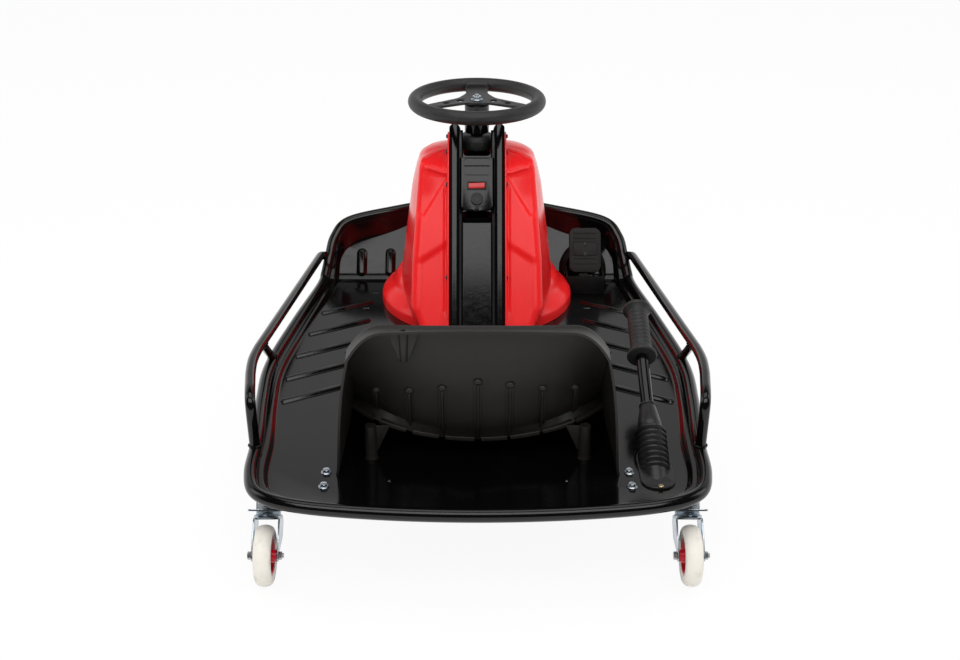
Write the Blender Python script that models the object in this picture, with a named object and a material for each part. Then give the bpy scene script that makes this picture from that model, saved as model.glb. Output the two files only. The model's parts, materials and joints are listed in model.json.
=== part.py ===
"""Electric drift kart: pressed floor pan in a tube frame, a turning front drive wheel under a
moulded shroud, and two caster wheels carried on a drift bar that a hand lever rolls.

Metres, +Z up, +Y forward, +X to the driver's right. The origin is on the ground, midway
between the frame's front and rear tubes. A left piece is the right one mirrored.
"""
import math

import bmesh
import bpy
from mathutils import Matrix, Vector

# Clearances
GAP = 0.0003                 # between pieces that touch
RUN = 0.0010                 # between pieces that turn close to each other

# The kart's length and width, and the places that follow them
FRAME_LENGTH = 1.070         # between the tube's front and rear centres
FRAME_HALF = 0.384           # widest half of the tube's centre line
FRONT_Y = FRAME_LENGTH / 2
REAR_Y = -FRAME_LENGTH / 2
STEER_Y = FRONT_Y - 0.215    # steering axis
BAR_Y = REAR_Y + 0.120       # drift bar axis
SEAT_REAR_Y = REAR_Y + 0.135 # rear edge of the seat's rim
SEAT_FRONT_Y = SEAT_REAR_Y + 0.415
PEDAL_Y = FRONT_Y - 0.170    # pedal pivot
TOE_Y = FRONT_Y - 0.127      # crease where the floor turns up

# Casters: plate, swivel and wheel, measured along and across the tilted swivel axis
CASTER_X = FRAME_HALF - 0.046
CASTER_TILT = math.radians(32.0)
CASTER_WHEEL_R = 0.049
CASTER_WHEEL_W = 0.028
CASTER_DROP = 0.070          # plate to axle
CASTER_TRAIL = 0.030
CASTER_PLATE = 0.060
CASTER_PLATE_T = 0.003
CASTER_STAND = 0.0358        # plate underside to drift bar axis, square to the plate
CASTER_SET = 0.0135          # drift bar axis behind the swivel axis, along the plate
CASTER_HUB_R = 0.0315
CASTER_FORK_HALF = 0.0215
CASTER_SHEET = 0.0025
CASTER_RACE_R = 0.0235
CASTER_RACE_H = 0.0105
CASTER_AXLE_R = 0.004

# Drift bar, its brackets and its lever
BAR_R = 0.0125
BAR_HALF = CASTER_X + 0.018
BRACKET_X = CASTER_X - 0.093
BRACKET_HALF_X = 0.012
BRACKET_WALL = 0.0022
BRACKET_FLANGE_T = 0.003
BOLT_R = 0.004
BOLT_HEAD_R = 0.0062
BOLT_REACH = BAR_R + RUN + BRACKET_WALL + BOLT_HEAD_R
BRACKET_REACH = BOLT_REACH + BOLT_HEAD_R + 0.003
BOLT_HEAD_H = 0.006
LEVER_X = FRAME_HALF - 0.096
LEVER_ANGLE = math.radians(22.0)
LEVER_R = 0.011
LEVER_LENGTH = 0.400
GRIP_START = LEVER_LENGTH - 0.116
GRIP_END = LEVER_LENGTH + 0.003
GRIP_R = 0.0185
GRIP_FLANGE_R = 0.0265
GRIP_FLANGE_T = 0.007
BOOT_WALL = 0.0022
BOOT_END = 0.173
BOOT_CONE = 0.054
BOOT_RIBS = 8
BOOT_RIB_R = 0.0255
BOOT_RIB_H = 0.0045
BOOT_FLANGE_R = 0.0325
BOOT_LAP = 0.020             # foot flange beyond the slot's ends

# Frame tube and floor pan
TUBE_R = 0.011
PAN_T = 0.002
PAN_OVER_BAR = 0.0025        # air between the drift bar and the pan
RIM_RISE = 0.008             # floor to the middle of the tube
LIP_W = 0.009
STEP_W = 0.009
TOE_SLOPE = 1.19             # rise per metre of the toe board
TOE_TOP_Z = 0.118            # height of the toe board's top edge above the floor
RIM_NARROWING = 0.6          # share of the pan's rim width lost where the frame rises in front
RIB_COUNT = 5
RIB_PITCH = (FRAME_LENGTH - 0.708) / (RIB_COUNT - 1)
RIB_FIRST_Y = REAR_Y + 0.414 # rearmost rib, at its middle
RIB_X = FRAME_HALF - 0.089   # where a rib's place along the kart is measured
RIB_INNER_X = 0.212
RIB_EDGE = 0.003             # from a rib's outer end to the step
RIB_W = 0.014
RIB_H = 0.005
RIB_ANGLE = math.radians(30.5)
TOE_BEAD_X = (0.185, 0.246)
TOE_BEAD_LENGTH = 0.064
TOE_BEAD_W = 0.022
TOE_BEAD_UP = 0.0245         # middle of a bead ahead of the bend
TOE_BEAD_H = 0.006
WELL_R = 0.168               # hole in the pan for the turning wheel
SLOT_PLACES = ((0.212, FRONT_Y - 0.199), (0.226, FRONT_Y - 0.276))
SLOT_LENGTH = 0.020
SLOT_W = 0.006
DRAIN_PLACE = (0.142, REAR_Y + 0.116)
DRAIN_R = 0.0028

# Side rails
RAIL_R = 0.0088
RAIL_Z = 0.250
RAIL_REAR_Y = REAR_Y + 0.200
RAIL_CORNER = (FRAME_HALF + 0.007, RAIL_REAR_Y + 0.147)
RAIL_BEND = 0.028
STRUT_R = 0.0075
STRUT_TOP_Y = REAR_Y + 0.425
STRUT_FOOT_Y = STRUT_TOP_Y + 0.117

# Drive wheel, fork and drive
TYRE_R = 0.150
TYRE_W = 0.055
TYRE_DEPTH = 0.046
TYRE_SIDES = 32
RIM_WALL = 0.004
HUB_R = 0.019
HUB_HALF = 0.0355
AXLE_R = 0.006
FORK_INNER = 0.044
FORK_SHEET = 0.006
FORK_LEG_W = 0.040
FORK_CROWN_Z = 0.318
FORK_CROWN_T = 0.017
CHAIN_PITCH = 0.00635
WHEEL_TEETH = 44
MOTOR_TEETH = 11
SPROCKET_T = 0.003
TOOTH_H = 0.0016
CHAIN_W = 0.0055
MOTOR_Z = 0.245
MOTOR_R = 0.0425
MOTOR_LENGTH = 0.070
MOTOR_SHAFT_R = 0.004

# Steering column and wheel
COLUMN_R = 0.0125
HEAD_TUBE_R = 0.024
HEAD_TUBE_WALL = 0.0045
PLATE_T = 0.004
HEAD_BOTTOM_Z = 0.352
HEAD_TOP_Z = 0.470
BEARING_H = 0.012
CAP_R = 0.034
CAP_H = 0.027
COLLAR_R = 0.024
COLLAR_Z = 0.502
STEERING_Z = 0.565
STEERING_R = 0.1215          # middle of the rim
STEERING_GRIP_R = 0.0135
SPOKE_T = 0.004
SPOKE_W = 0.021
SPOKE_HUB_R = 0.026
SPOKE_HOLE_R = 0.0055

# Spine between the driver's legs
SPINE_HALF = 0.054
SPINE_SLOPE = math.radians(60.0)
SPINE_TOP_Y = STEER_Y - 0.050 # rear face of the spine at SPINE_REF_Z
SPINE_REF_Z = 0.500
SPINE_EAR_Z = 0.528
SPINE_WEB_Z = 0.474          # top of the web between the two ears
SPINE_SHEET = 0.0025
RIDGE_W = 0.023
RIDGE_H = 0.009
FLANGE_DEPTH = 0.072
PANEL_TOP_Z = 0.471
PANEL_LENGTH = 0.108
PANEL_T = 0.006
SWITCH_HALF = 0.020
SWITCH_WIDE = 0.0085
SWITCH_WINDOW_X = 0.0165
SWITCH_WINDOW_Y = 0.0063
SWITCH_DOWN = 0.056          # from the panel's top edge to the switch
PORT_DOWN = 0.083
PORT_R = 0.0120
PORT_BODY_R = 0.0082
PORT_FLANGE_T = 0.0015
PORT_HINGE_DOWN = PORT_DOWN + PORT_R + 0.007
ROCKER_SWING = math.radians(12.0)

# Shroud
SHELL_T = 0.003
DOME_R = FRAME_HALF * 0.5078
SHROUD_SET_BACK = 0.006      # shroud's rear face ahead of the spine's
SHROUD_LEVELS = (
    # height, rear half width, side half width, reach ahead of the steering axis
    (0.120, 0.098, 0.130, 0.150),
    (0.175, 0.110, 0.149, 0.155),
    (0.210, 0.128, 0.150, 0.155),
    (0.290, 0.129, 0.147, 0.150),
    (0.400, 0.121, 0.132, 0.125),
    (0.440, 0.116, 0.120, 0.108),
    (0.462, 0.100, 0.102, 0.088),
    (0.475, 0.076, 0.078, 0.060),
    (0.480, 0.050, 0.052, 0.035),
)
SHROUD_CREASE_Z = 0.448
SHROUD_CAP_LEAN = 1.8
DOME_PROFILE = tuple((DOME_R * share, height) for share, height in (
    (1.0, 0.100), (1.0, 0.160), (0.974, 0.171), (0.887, 0.188),
    (0.805, 0.212), (0.615, 0.235), (0.308, 0.245), (0.0, 0.247)))

# Seat
SEAT_HALF = 0.208
SEAT_SKIRT_HALF = 0.229
SEAT_WALL = 0.004
SEAT_SIDE_LIFT = 0.034       # sides of the cushion above its middle
SEAT_WRAP_FOOT = 0.105       # sides of the back ahead of its middle, at its foot
SEAT_WRAP_TOP = 0.018        # the same at its top edge
SEAT_BACK_RISE = 0.250       # top edge of the back above the floor, in the middle
POST_X = 0.175
POST_Y = SEAT_REAR_Y + 0.088
POST_R = 0.010

# Batteries and controller under the floor
BATTERY = (0.151, 0.094, 0.065)
BATTERY_Y = SEAT_REAR_Y + 0.230
TRAY_SHEET = 0.002
TRAY_FLANGE = 0.016
TRAY_ROOM = 0.0015
CONTROLLER = (0.110, 0.070, 0.040)
CONTROLLER_Y = BATTERY_Y + 0.115

# Pedal
PEDAL_X = DOME_R + 0.032
PAD_W = 0.066
PAD_LENGTH = 0.100
PAD_T = 0.009
PAD_SLOPE = math.radians(60.0)
PEDAL_RISE = 0.023           # pivot above the floor
PIN_R = 0.003
EAR_T = 0.003
EAR_GAP = 0.034              # between the pedal bracket's ears
HOUSING_REAR = (0.041, 0.070)
HOUSING_FRONT = (0.052, 0.074)
HOUSING_DEPTH = 0.030
HOUSING_BACK = 0.022         # pivot to the housing's rear edge
HOUSING_LEAN = 0.36
HOUSING_WALL = 0.0025

# Heights worked out from the casters up
SIN_T = math.sin(CASTER_TILT)
COS_T = math.cos(CASTER_TILT)
BAR_Z = CASTER_WHEEL_R + (CASTER_DROP + CASTER_STAND) * COS_T - (CASTER_TRAIL - CASTER_SET) * SIN_T
PAN_UNDER = BAR_Z + BAR_R + PAN_OVER_BAR
FLOOR_Z = PAN_UNDER + PAN_T
TUBE_Z = FLOOR_Z + RIM_RISE
SEAT_Z = FLOOR_Z + GAP       # where pieces stand on the pan


# Finishes: colour, roughness, metallic
FINISHES = {
    "black_paint": ((0.012, 0.011, 0.011), 0.12, 0.0),
    "black_plastic": ((0.020, 0.020, 0.021), 0.42, 0.0),
    "seat_plastic": ((0.030, 0.029, 0.028), 0.46, 0.0),
    "red_shell": ((0.830, 0.012, 0.020), 0.16, 0.0),
    "rubber": ((0.016, 0.016, 0.017), 0.62, 0.0),
    "tyre": ((0.018, 0.018, 0.018), 0.78, 0.0),
    "zinc": ((0.640, 0.660, 0.680), 0.24, 1.0),
    "steel": ((0.560, 0.560, 0.570), 0.30, 1.0),
    "white_tread": ((0.820, 0.790, 0.700), 0.48, 0.0),
    "red_hub": ((0.520, 0.006, 0.024), 0.35, 0.0),
    "alloy": ((0.700, 0.710, 0.720), 0.36, 1.0),
    "battery_case": ((0.060, 0.062, 0.066), 0.52, 0.0),
    "red_rocker": ((0.700, 0.010, 0.012), 0.20, 0.0),
}


# Small geometry helpers
def side_name(side):
    return "right" if side > 0 else "left"


def circle(radius, sides, centre=(0.0, 0.0), phase=0.5):
    """Points of a regular polygon whose corners lie on the circle."""
    points = []
    for k in range(sides):
        angle = 2 * math.pi * (k + phase) / sides
        points.append((centre[0] + radius * math.cos(angle), centre[1] + radius * math.sin(angle)))
    return points


def rounded_box(half_x, half_y, radius, steps=4, centre=(0.0, 0.0)):
    """Outline of a rectangle with round corners."""
    points = []
    for corner, (sx, sy) in enumerate(((1, 1), (-1, 1), (-1, -1), (1, -1))):
        for k in range(steps + 1):
            angle = math.pi / 2 * (corner + k / steps)
            points.append((centre[0] + sx * (half_x - radius) + radius * math.cos(angle),
                           centre[1] + sy * (half_y - radius) + radius * math.sin(angle)))
    return points


def spline(points, count, closed=False):
    """Evenly sampled smooth curve through the given points."""
    points = [Vector(p) for p in points]
    total = len(points)
    spans = total if closed else total - 1
    samples = []
    for n in range(count):
        t = n * spans / (count if closed else count - 1)
        k = min(int(t), spans - 1)
        f = t - k
        if closed:
            p0, p1, p2, p3 = (points[(k + d) % total] for d in (-1, 0, 1, 2))
        else:
            p1 = points[k]
            p2 = points[k + 1]
            p0 = points[k - 1] if k > 0 else p1 * 2 - p2
            p3 = points[k + 2] if k + 2 < total else p2 * 2 - p1
        samples.append(0.5 * (2 * p1 + (p2 - p0) * f + (2 * p0 - 5 * p1 + 4 * p2 - p3) * f ** 2
                              + (3 * p1 - p0 - 3 * p2 + p3) * f ** 3))
    return samples


def bent(points, radius, steps=5):
    """Straight runs joined by arcs, as a tube bender leaves them."""
    points = [Vector(p) for p in points]
    path = [points[0]]
    for before, corner, after in zip(points, points[1:], points[2:]):
        u = (before - corner).normalized()
        v = (after - corner).normalized()
        half = u.angle(v) / 2
        centre = corner + (u + v).normalized() * radius / math.sin(half)
        start = corner + u * radius / math.tan(half) - centre
        end = corner + v * radius / math.tan(half) - centre
        for k in range(steps + 1):
            path.append(centre + start.slerp(end, k / steps) * radius)
    path.append(points[-1])
    return path


def loft(rings, wrap=False):
    """Skin between rings of equal count; the ends are capped unless the rings wrap."""
    bm = bmesh.new()
    rows = [[bm.verts.new(p) for p in ring] for ring in rings]
    count = len(rows[0])
    pairs = list(zip(rows, rows[1:]))
    if wrap:
        pairs.append((rows[-1], rows[0]))
    for low, high in pairs:
        for k in range(count):
            n = (k + 1) % count
            bm.faces.new((low[k], low[n], high[n], high[k]))
    if not wrap:
        bm.faces.new(list(reversed(rows[0])))
        bm.faces.new(rows[-1])
    bmesh.ops.recalc_face_normals(bm, faces=bm.faces)
    return bm


def prism(outline, low, high, axis="Z"):
    """Outline drawn in the plane across an axis, extruded along that axis."""
    def place(a, b, c):
        return {"Z": (a, b, c), "X": (c, a, b), "Y": (a, c, b)}[axis]
    return loft([[place(a, b, low) for a, b in outline], [place(a, b, high) for a, b in outline]])


def lathe(profile, sides, axis="Z", centre=(0.0, 0.0, 0.0), ring=False, phase=0.5):
    """Turned body from (radius, height) points; a ring profile closes on itself."""
    bm = bmesh.new()
    rows = []
    for radius, height in profile:
        count = 1 if radius == 0 else sides
        row = []
        for k in range(count):
            angle = 2 * math.pi * (k + phase) / sides
            a = radius * math.cos(angle)
            b = radius * math.sin(angle)
            point = {"Z": (a, b, height), "X": (height, a, b), "Y": (b, height, a)}[axis]
            row.append(bm.verts.new(Vector(point) + Vector(centre)))
        rows.append(row)
    pairs = list(zip(rows, rows[1:]))
    if ring:
        pairs.append((rows[-1], rows[0]))
    for low, high in pairs:
        for k in range(sides):
            n = (k + 1) % sides
            corners = (low[k % len(low)], low[n % len(low)], high[n % len(high)], high[k % len(high)])
            bm.faces.new(list(dict.fromkeys(corners)))
    if not ring:
        for row in (rows[0], rows[-1]):
            if len(row) > 1:
                bm.faces.new(row)
    bmesh.ops.recalc_face_normals(bm, faces=bm.faces)
    return bm


def tube_ring(outer, inner, low, high, sides, axis="Z", centre=(0.0, 0.0, 0.0)):
    """Plain ring or sleeve."""
    profile = ((outer, low), (outer, high), (inner, high), (inner, low))
    return lathe(profile, sides, axis, centre, ring=True)


def sweep(path, section, closed=False, up=None):
    """Section (x, y points, or one list for each station) carried square along a path."""
    path = [Vector(p) for p in path]
    count = len(path)
    rings = []
    side = None
    for k, point in enumerate(path):
        if closed:
            tangent = path[(k + 1) % count] - path[k - 1]
        else:
            tangent = path[min(k + 1, count - 1)] - path[max(k - 1, 0)]
        tangent.normalize()
        if up is not None:
            side = tangent.cross(Vector(up)).normalized()
        elif side is None:
            side = tangent.orthogonal().normalized()
        else:
            side = (side - tangent * side.dot(tangent)).normalized()
        over = side.cross(tangent)
        shape = section[k] if isinstance(section[0], list) else section
        rings.append([point + side * a + over * b for a, b in shape])
    return loft(rings, wrap=closed)


def moved(bm, location=(0.0, 0.0, 0.0), rotation=None):
    """The same mesh turned, then shifted."""
    if rotation is not None:
        bmesh.ops.transform(bm, matrix=rotation, verts=bm.verts)
    bmesh.ops.translate(bm, vec=Vector(location), verts=bm.verts)
    return bm


def bead(length, width, height, shoulder, sink=0.001, steps=3):
    """Pressed bead: a long round-ended loaf lying along X on Z = 0."""
    def stadium(half_w, z):
        points = []
        for end in (1, -1):
            for k in range(steps + 1):
                angle = -math.pi / 2 + math.pi * k / steps
                points.append((end * (length / 2 - width / 2 + half_w * math.cos(angle)),
                               end * half_w * math.sin(angle), z))
        return points
    rings = [stadium(width / 2, -sink), stadium(width / 2, 0.0)]
    if shoulder:
        rings.append(stadium(width / 2 - height * 0.45, height * 0.75))
    return loft(rings + [stadium(width / 2 - height * 0.9, height)])


# Objects
def finish_mesh(mesh, angle=32.0):
    mesh.shade_smooth()
    mesh.set_sharp_from_angle(angle=math.radians(angle))


def body(name, bm, finish=None, parent=None, location=(0.0, 0.0, 0.0), rotation=(0.0, 0.0, 0.0)):
    """New object from a mesh under construction, with its own material."""
    mesh = bpy.data.meshes.new(name)
    bm.to_mesh(mesh)
    bm.free()
    thing = bpy.data.objects.new(name, mesh)
    bpy.context.scene.collection.objects.link(thing)
    thing.location = location
    thing.rotation_euler = rotation
    thing.parent = parent
    if finish:
        paint(thing, finish)
    finish_mesh(mesh)
    return thing


def paint(thing, finish):
    """Principled material in the finish's colour, named after the piece."""
    colour, roughness, metallic = FINISHES[finish]
    skin = bpy.data.materials.new(thing.name + "_" + finish)
    skin.use_nodes = True
    shader = skin.node_tree.nodes["Principled BSDF"]
    shader.inputs["Base Color"].default_value = (*colour, 1.0)
    shader.inputs["Roughness"].default_value = roughness
    shader.inputs["Metallic"].default_value = metallic
    skin.diffuse_color = (*colour, 1.0)
    thing.data.materials.clear()
    thing.data.materials.append(skin)


def twin(source, name, finish, parent=None, location=(0.0, 0.0, 0.0), rotation=(0.0, 0.0, 0.0)):
    """A second object from a copy of the first one's mesh."""
    bm = bmesh.new()
    bm.from_mesh(source.data)
    return body(name, bm, finish, parent, location, rotation)


def mirrored(source, name, finish, parent=None):
    """Left-hand piece from the right-hand one."""
    bm = bmesh.new()
    bm.from_mesh(source.data)
    bmesh.ops.scale(bm, vec=(-1.0, 1.0, 1.0), verts=bm.verts)
    bmesh.ops.reverse_faces(bm, faces=bm.faces)
    return body(name, bm, finish, parent)


def joint_empty(name, location, rotation=(0.0, 0.0, 0.0), parent=None):
    """Empty that marks a joint's axis and carries what turns on it."""
    empty = bpy.data.objects.new(name, None)
    bpy.context.scene.collection.objects.link(empty)
    empty.location = location
    empty.rotation_euler = rotation
    empty.parent = parent
    empty.empty_display_size = 0.03
    return empty


def combine(target, tool_bm, operation):
    """Cuts or joins the target with a tool body drawn in the target's own frame."""
    tool = body(target.name + "_tool", tool_bm, None, target.parent, target.location, target.rotation_euler)
    tool.hide_render = True
    tool.display_type = "WIRE"
    step = target.modifiers.new("step", "BOOLEAN")
    step.operation = operation
    step.solver = "EXACT"
    step.object = tool
    graph = bpy.context.evaluated_depsgraph_get()
    mesh = bpy.data.meshes.new_from_object(target.evaluated_get(graph))
    target.modifiers.clear()
    old = target.data
    target.data = mesh
    mesh.name = target.name
    bpy.data.meshes.remove(old)
    bpy.data.objects.remove(tool)
    finish_mesh(mesh)


def cut(target, *tools):
    for tool in tools:
        combine(target, tool, "DIFFERENCE")


def join(target, *tools):
    for tool in tools:
        combine(target, tool, "UNION")


def apply_modifiers(thing):
    graph = bpy.context.evaluated_depsgraph_get()
    mesh = bpy.data.meshes.new_from_object(thing.evaluated_get(graph))
    thing.modifiers.clear()
    thing.data = mesh
    finish_mesh(mesh)


def thicken(thing, wall):
    """Gives a skin its wall, on the side away from its faces' normals."""
    step = thing.modifiers.new("wall", "SOLIDIFY")
    step.thickness = wall
    step.offset = -1.0
    step.use_even_offset = True
    apply_modifiers(thing)


# Frame outline
def frame_outline(count):
    """Centre line of the perimeter tube, from the rear middle round by the right side."""
    half = FRAME_HALF
    front = FRONT_Y
    rear = REAR_Y
    right = [(0.150, rear + 0.008, 0.0), (0.280, rear + 0.028, 0.0), (half - 0.040, rear + 0.062, 0.0),
             (half - 0.019, rear + 0.125, 0.0), (half - 0.015, rear + 0.235, 0.0),
             (half - 0.003, rear + 0.377, 0.0), (half, rear + 0.515, 0.0),
             (half - 0.027, front - 0.360, 0.0), (half - 0.058, front - 0.180, 0.0),
             (half - 0.064, front - 0.138, 0.012), (half - 0.071, front - 0.109, 0.041),
             (half - 0.081, front - 0.082, 0.073), (half - 0.111, front - 0.060, 0.100),
             (half - 0.204, front - 0.038, 0.115), (0.095, front - 0.014, 0.121)]
    left = [(-x, y, z) for x, y, z in reversed(right)]
    points = [(0.0, rear, 0.0), *right, (0.0, front, 0.122), *left]
    raised = [(x, y, z + TUBE_Z) for x, y, z in points]
    return spline(raised, count, closed=True)


FRAME_STATIONS = 56


def inward(path, k, distance):
    """Point beside the tube's centre line, on the inner side, at the same height."""
    along = path[(k + 1) % len(path)] - path[k - 1]
    across = Vector((-along.y, along.x, 0.0)).normalized()
    return path[k] + across * distance


def toe_height(y):
    return FLOOR_Z + max(0.0, y - TOE_Y) * TOE_SLOPE


def under_floor(lift):
    """Wedge below the floor and the toe board, raised by a clearance: cuts what stands on them."""
    top_y = FRONT_Y + 0.065
    outline = [(-top_y, FLOOR_Z + lift), (TOE_Y, FLOOR_Z + lift),
               (top_y, FLOOR_Z + lift * 1.6 + (top_y - TOE_Y) * TOE_SLOPE),
               (top_y, -0.05), (-top_y, -0.05)]
    return prism(outline, -FRAME_HALF - 0.116, FRAME_HALF + 0.116, "X")


def rim_width(point):
    """Share of the pan's full rim width beside one place of the tube."""
    rise = min(1.0, max(0.0, (point.z - TUBE_Z) / 0.050))
    return 1.0 - RIM_NARROWING * rise


def make_frame_tube():
    path = frame_outline(FRAME_STATIONS)
    body("frame_tube", sweep(path, circle(TUBE_R, 8), closed=True, up=(0, 0, 1)), "black_paint")


def make_floor_pan():
    """Pressed pan: flat lip beside the tube, a step down, the floor and the sloping toe board."""
    path = frame_outline(FRAME_STATIONS)
    toe_edge_y = TOE_Y + TOE_TOP_Z / TOE_SLOPE
    outer = [inward(path, k, TUBE_R + GAP) for k in range(len(path))]
    lip = [inward(path, k, TUBE_R + GAP + LIP_W * rim_width(path[k])) for k in range(len(path))]
    floor = [inward(path, k, TUBE_R + GAP + (LIP_W + STEP_W) * rim_width(path[k])) for k in range(len(path))]
    for side in (1, -1):
        near = min((p for p in floor if p.x * side > 0), key=lambda p: abs(p.y - TOE_Y))
        near.y = TOE_Y
    for point in floor:
        point.y = min(point.y, toe_edge_y)
        point.z = toe_height(point.y)
    bm = bmesh.new()
    rows = [[bm.verts.new(p) for p in ring] for ring in (outer, lip, floor)]
    count = len(path)
    for low, high in zip(rows, rows[1:]):
        for k in range(count):
            n = (k + 1) % count
            bm.faces.new((low[k], low[n], high[n], high[k]))
    middle = rows[2]
    bends = [k for k in range(count) if abs(floor[k].y - TOE_Y) < 1e-7]
    right, left = sorted(bends, key=lambda k: -floor[k].x)
    bm.faces.new(middle[right:left + 1])
    bm.faces.new(middle[left:] + middle[:right + 1])
    bmesh.ops.recalc_face_normals(bm, faces=bm.faces)
    if sum(face.normal.z * face.calc_area() for face in bm.faces) < 0:
        bmesh.ops.reverse_faces(bm, faces=bm.faces)
    pan = body("floor_pan", bm, "black_paint")
    thicken(pan, PAN_T)
    for side in (1, -1):
        for n in range(RIB_COUNT):
            add_rib(pan, side, RIB_FIRST_Y + n * RIB_PITCH)
    for x in TOE_BEAD_X:
        add_toe_bead(pan, -x)
    cut_pan_holes(pan)
    return pan


def press(pan, length, width, height, place):
    """Raises a bead in the pan and hollows it from below."""
    join(pan, moved(bead(length, width, height, True), rotation=place))
    inner = bead(length - 2 * PAN_T, width - 2 * PAN_T, height, False, sink=2 * PAN_T)
    cut(pan, moved(inner, rotation=place @ Matrix.Translation((0, 0, -PAN_T))))


def add_rib(pan, side, y):
    """Slanted side rib from the pan's step inward, its inner end further forward."""
    inset = TUBE_R + GAP + LIP_W + STEP_W + RIB_EDGE
    outer_x = RIB_X
    inner_x = RIB_INNER_X if y > SEAT_FRONT_Y else SEAT_SKIRT_HALF + RIB_W
    for _ in range(4):
        outer_x = nearest_station(y - (outer_x - RIB_X) * math.tan(RIB_ANGLE), TUBE_Z).x - inset
    middle_x = (outer_x + inner_x) / 2
    place = Matrix.Translation((side * middle_x, y - (middle_x - RIB_X) * math.tan(RIB_ANGLE), FLOOR_Z))
    place = place @ Matrix.Rotation(-side * RIB_ANGLE, 4, "Z")
    press(pan, (outer_x - inner_x) / math.cos(RIB_ANGLE), RIB_W, RIB_H, place)


def add_toe_bead(pan, x):
    """Upright bead pressed into the toe board."""
    middle_y = TOE_Y + TOE_BEAD_UP
    place = Matrix.Translation((x, middle_y, toe_height(middle_y)))
    place = place @ Matrix.Rotation(math.atan(TOE_SLOPE), 4, "X") @ Matrix.Rotation(math.pi / 2, 4, "Z")
    press(pan, TOE_BEAD_LENGTH, TOE_BEAD_W, TOE_BEAD_H, place)


def lever_slot():
    """Low and high end of the pan's slot for the lever, along Y."""
    slant = LEVER_R / math.cos(LEVER_ANGLE)
    front = BAR_Y + (FLOOR_Z + slant - BAR_Z) / math.tan(LEVER_ANGLE)
    return BAR_Y - LEVER_R - 4 * RUN, front + 4 * RUN


def cut_pan_holes(pan):
    through = (FLOOR_Z - 0.02, FLOOR_Z + 0.03)
    cut(pan, lathe(((WELL_R, 0.05), (WELL_R, 0.40)), 40, centre=(0, STEER_Y, 0)))
    low, high = lever_slot()
    slot = rounded_box(LEVER_R + 4 * RUN, (high - low) / 2, LEVER_R, 4, (LEVER_X, (low + high) / 2))
    cut(pan, prism(slot, *through))
    for side in (1, -1):
        for end in (1, -1):
            place = (side * BRACKET_X, BAR_Y + end * BOLT_REACH)
            cut(pan, prism(circle(BOLT_R + GAP, 8, place), *through))
        for x, y in SLOT_PLACES:
            cut(pan, prism(rounded_box(SLOT_LENGTH / 2, SLOT_W / 2, 0.0029, 2, (side * x, y)), *through))
        x, y = DRAIN_PLACE
        cut(pan, prism(circle(DRAIN_R, 8, (side * x, y)), *through))


def nearest_station(y_wanted, z_wanted):
    """Point of the right half of the tube's centre line closest to a height and place."""
    path = [p for p in frame_outline(8 * FRAME_STATIONS) if p.x > 0]
    return min(path, key=lambda p: abs(p.y - y_wanted) + abs(p.z - z_wanted))


def at_y(path, y):
    """Point where a path crosses a place along the kart."""
    for a, b in zip(path, path[1:]):
        if min(a.y, b.y) <= y <= max(a.y, b.y) and a.y != b.y:
            place = a.lerp(b, (y - a.y) / (b.y - a.y))
    return place


def make_side_rails():
    """Bent side rail with its brace, the foot on the tube and the front end beside it."""
    foot = nearest_station(RAIL_REAR_Y, TUBE_Z)
    front = nearest_station(FRONT_Y - 0.119, TUBE_Z + 0.046)
    reach = Vector((1.0, -0.30, 0.0)).normalized()
    front_end = front + reach * TUBE_R * 0.4
    path = bent([(foot.x, foot.y, TUBE_Z + TUBE_R * 0.5), (foot.x + 0.003, foot.y, RAIL_Z),
                 (*RAIL_CORNER, RAIL_Z), (front.x + 0.019, front.y - 0.010, front.z + 0.003),
                 front_end], 0.012, 5)
    path = soften_rail(path)
    rail = body("side_rail_right", sweep(path, circle(RAIL_R, 8)), "black_paint")
    strut_foot = nearest_station(STRUT_FOOT_Y, TUBE_Z)
    start = strut_foot + Vector((0.0, 0.0, TUBE_R * 0.3))
    join(rail, sweep([start, start.lerp(at_y(path, STRUT_TOP_Y), 0.5), at_y(path, STRUT_TOP_Y)],
                     circle(STRUT_R, 8)))
    tube = sweep(frame_outline(FRAME_STATIONS), circle(TUBE_R + 1.5 * GAP, 8), closed=True, up=(0, 0, 1))
    cut(rail, tube)
    mirrored(rail, "side_rail_left", "black_paint")


def soften_rail(path):
    """Wider bend at the rail's widest point, by averaging its neighbours."""
    bend = min(range(len(path)), key=lambda k: (path[k] - Vector((*RAIL_CORNER, RAIL_Z))).length)
    before = path[bend - 3]
    after = path[bend + 3]
    corner = path[bend]
    smooth = []
    for k in range(9):
        t = 0.18 + 0.64 * k / 8
        a = before.lerp(corner, t)
        b = corner.lerp(after, t)
        smooth.append(a.lerp(b, t))
    return path[:bend - 2] + smooth + path[bend + 3:]


# Spine, head tube and the small parts on it
def spine_y(z):
    """Rear face of the spine's ridges at a height."""
    return SPINE_TOP_Y - (SPINE_REF_Z - z) / math.tan(SPINE_SLOPE)


def spine_frame():
    """Turns (across, along the slope, out of the face) into the world."""
    up = Vector((0, math.cos(SPINE_SLOPE), math.sin(SPINE_SLOPE)))
    out = Vector((0, -math.sin(SPINE_SLOPE), math.cos(SPINE_SLOPE)))
    right = Vector((1, 0, 0))
    turn = Matrix((right, up, out)).transposed().to_4x4()
    return Matrix.Translation((0, spine_y(FLOOR_Z), FLOOR_Z)) @ turn


def slope_at(z):
    """Distance up the spine's slope for a height."""
    return (z - FLOOR_Z) / math.sin(SPINE_SLOPE)


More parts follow.
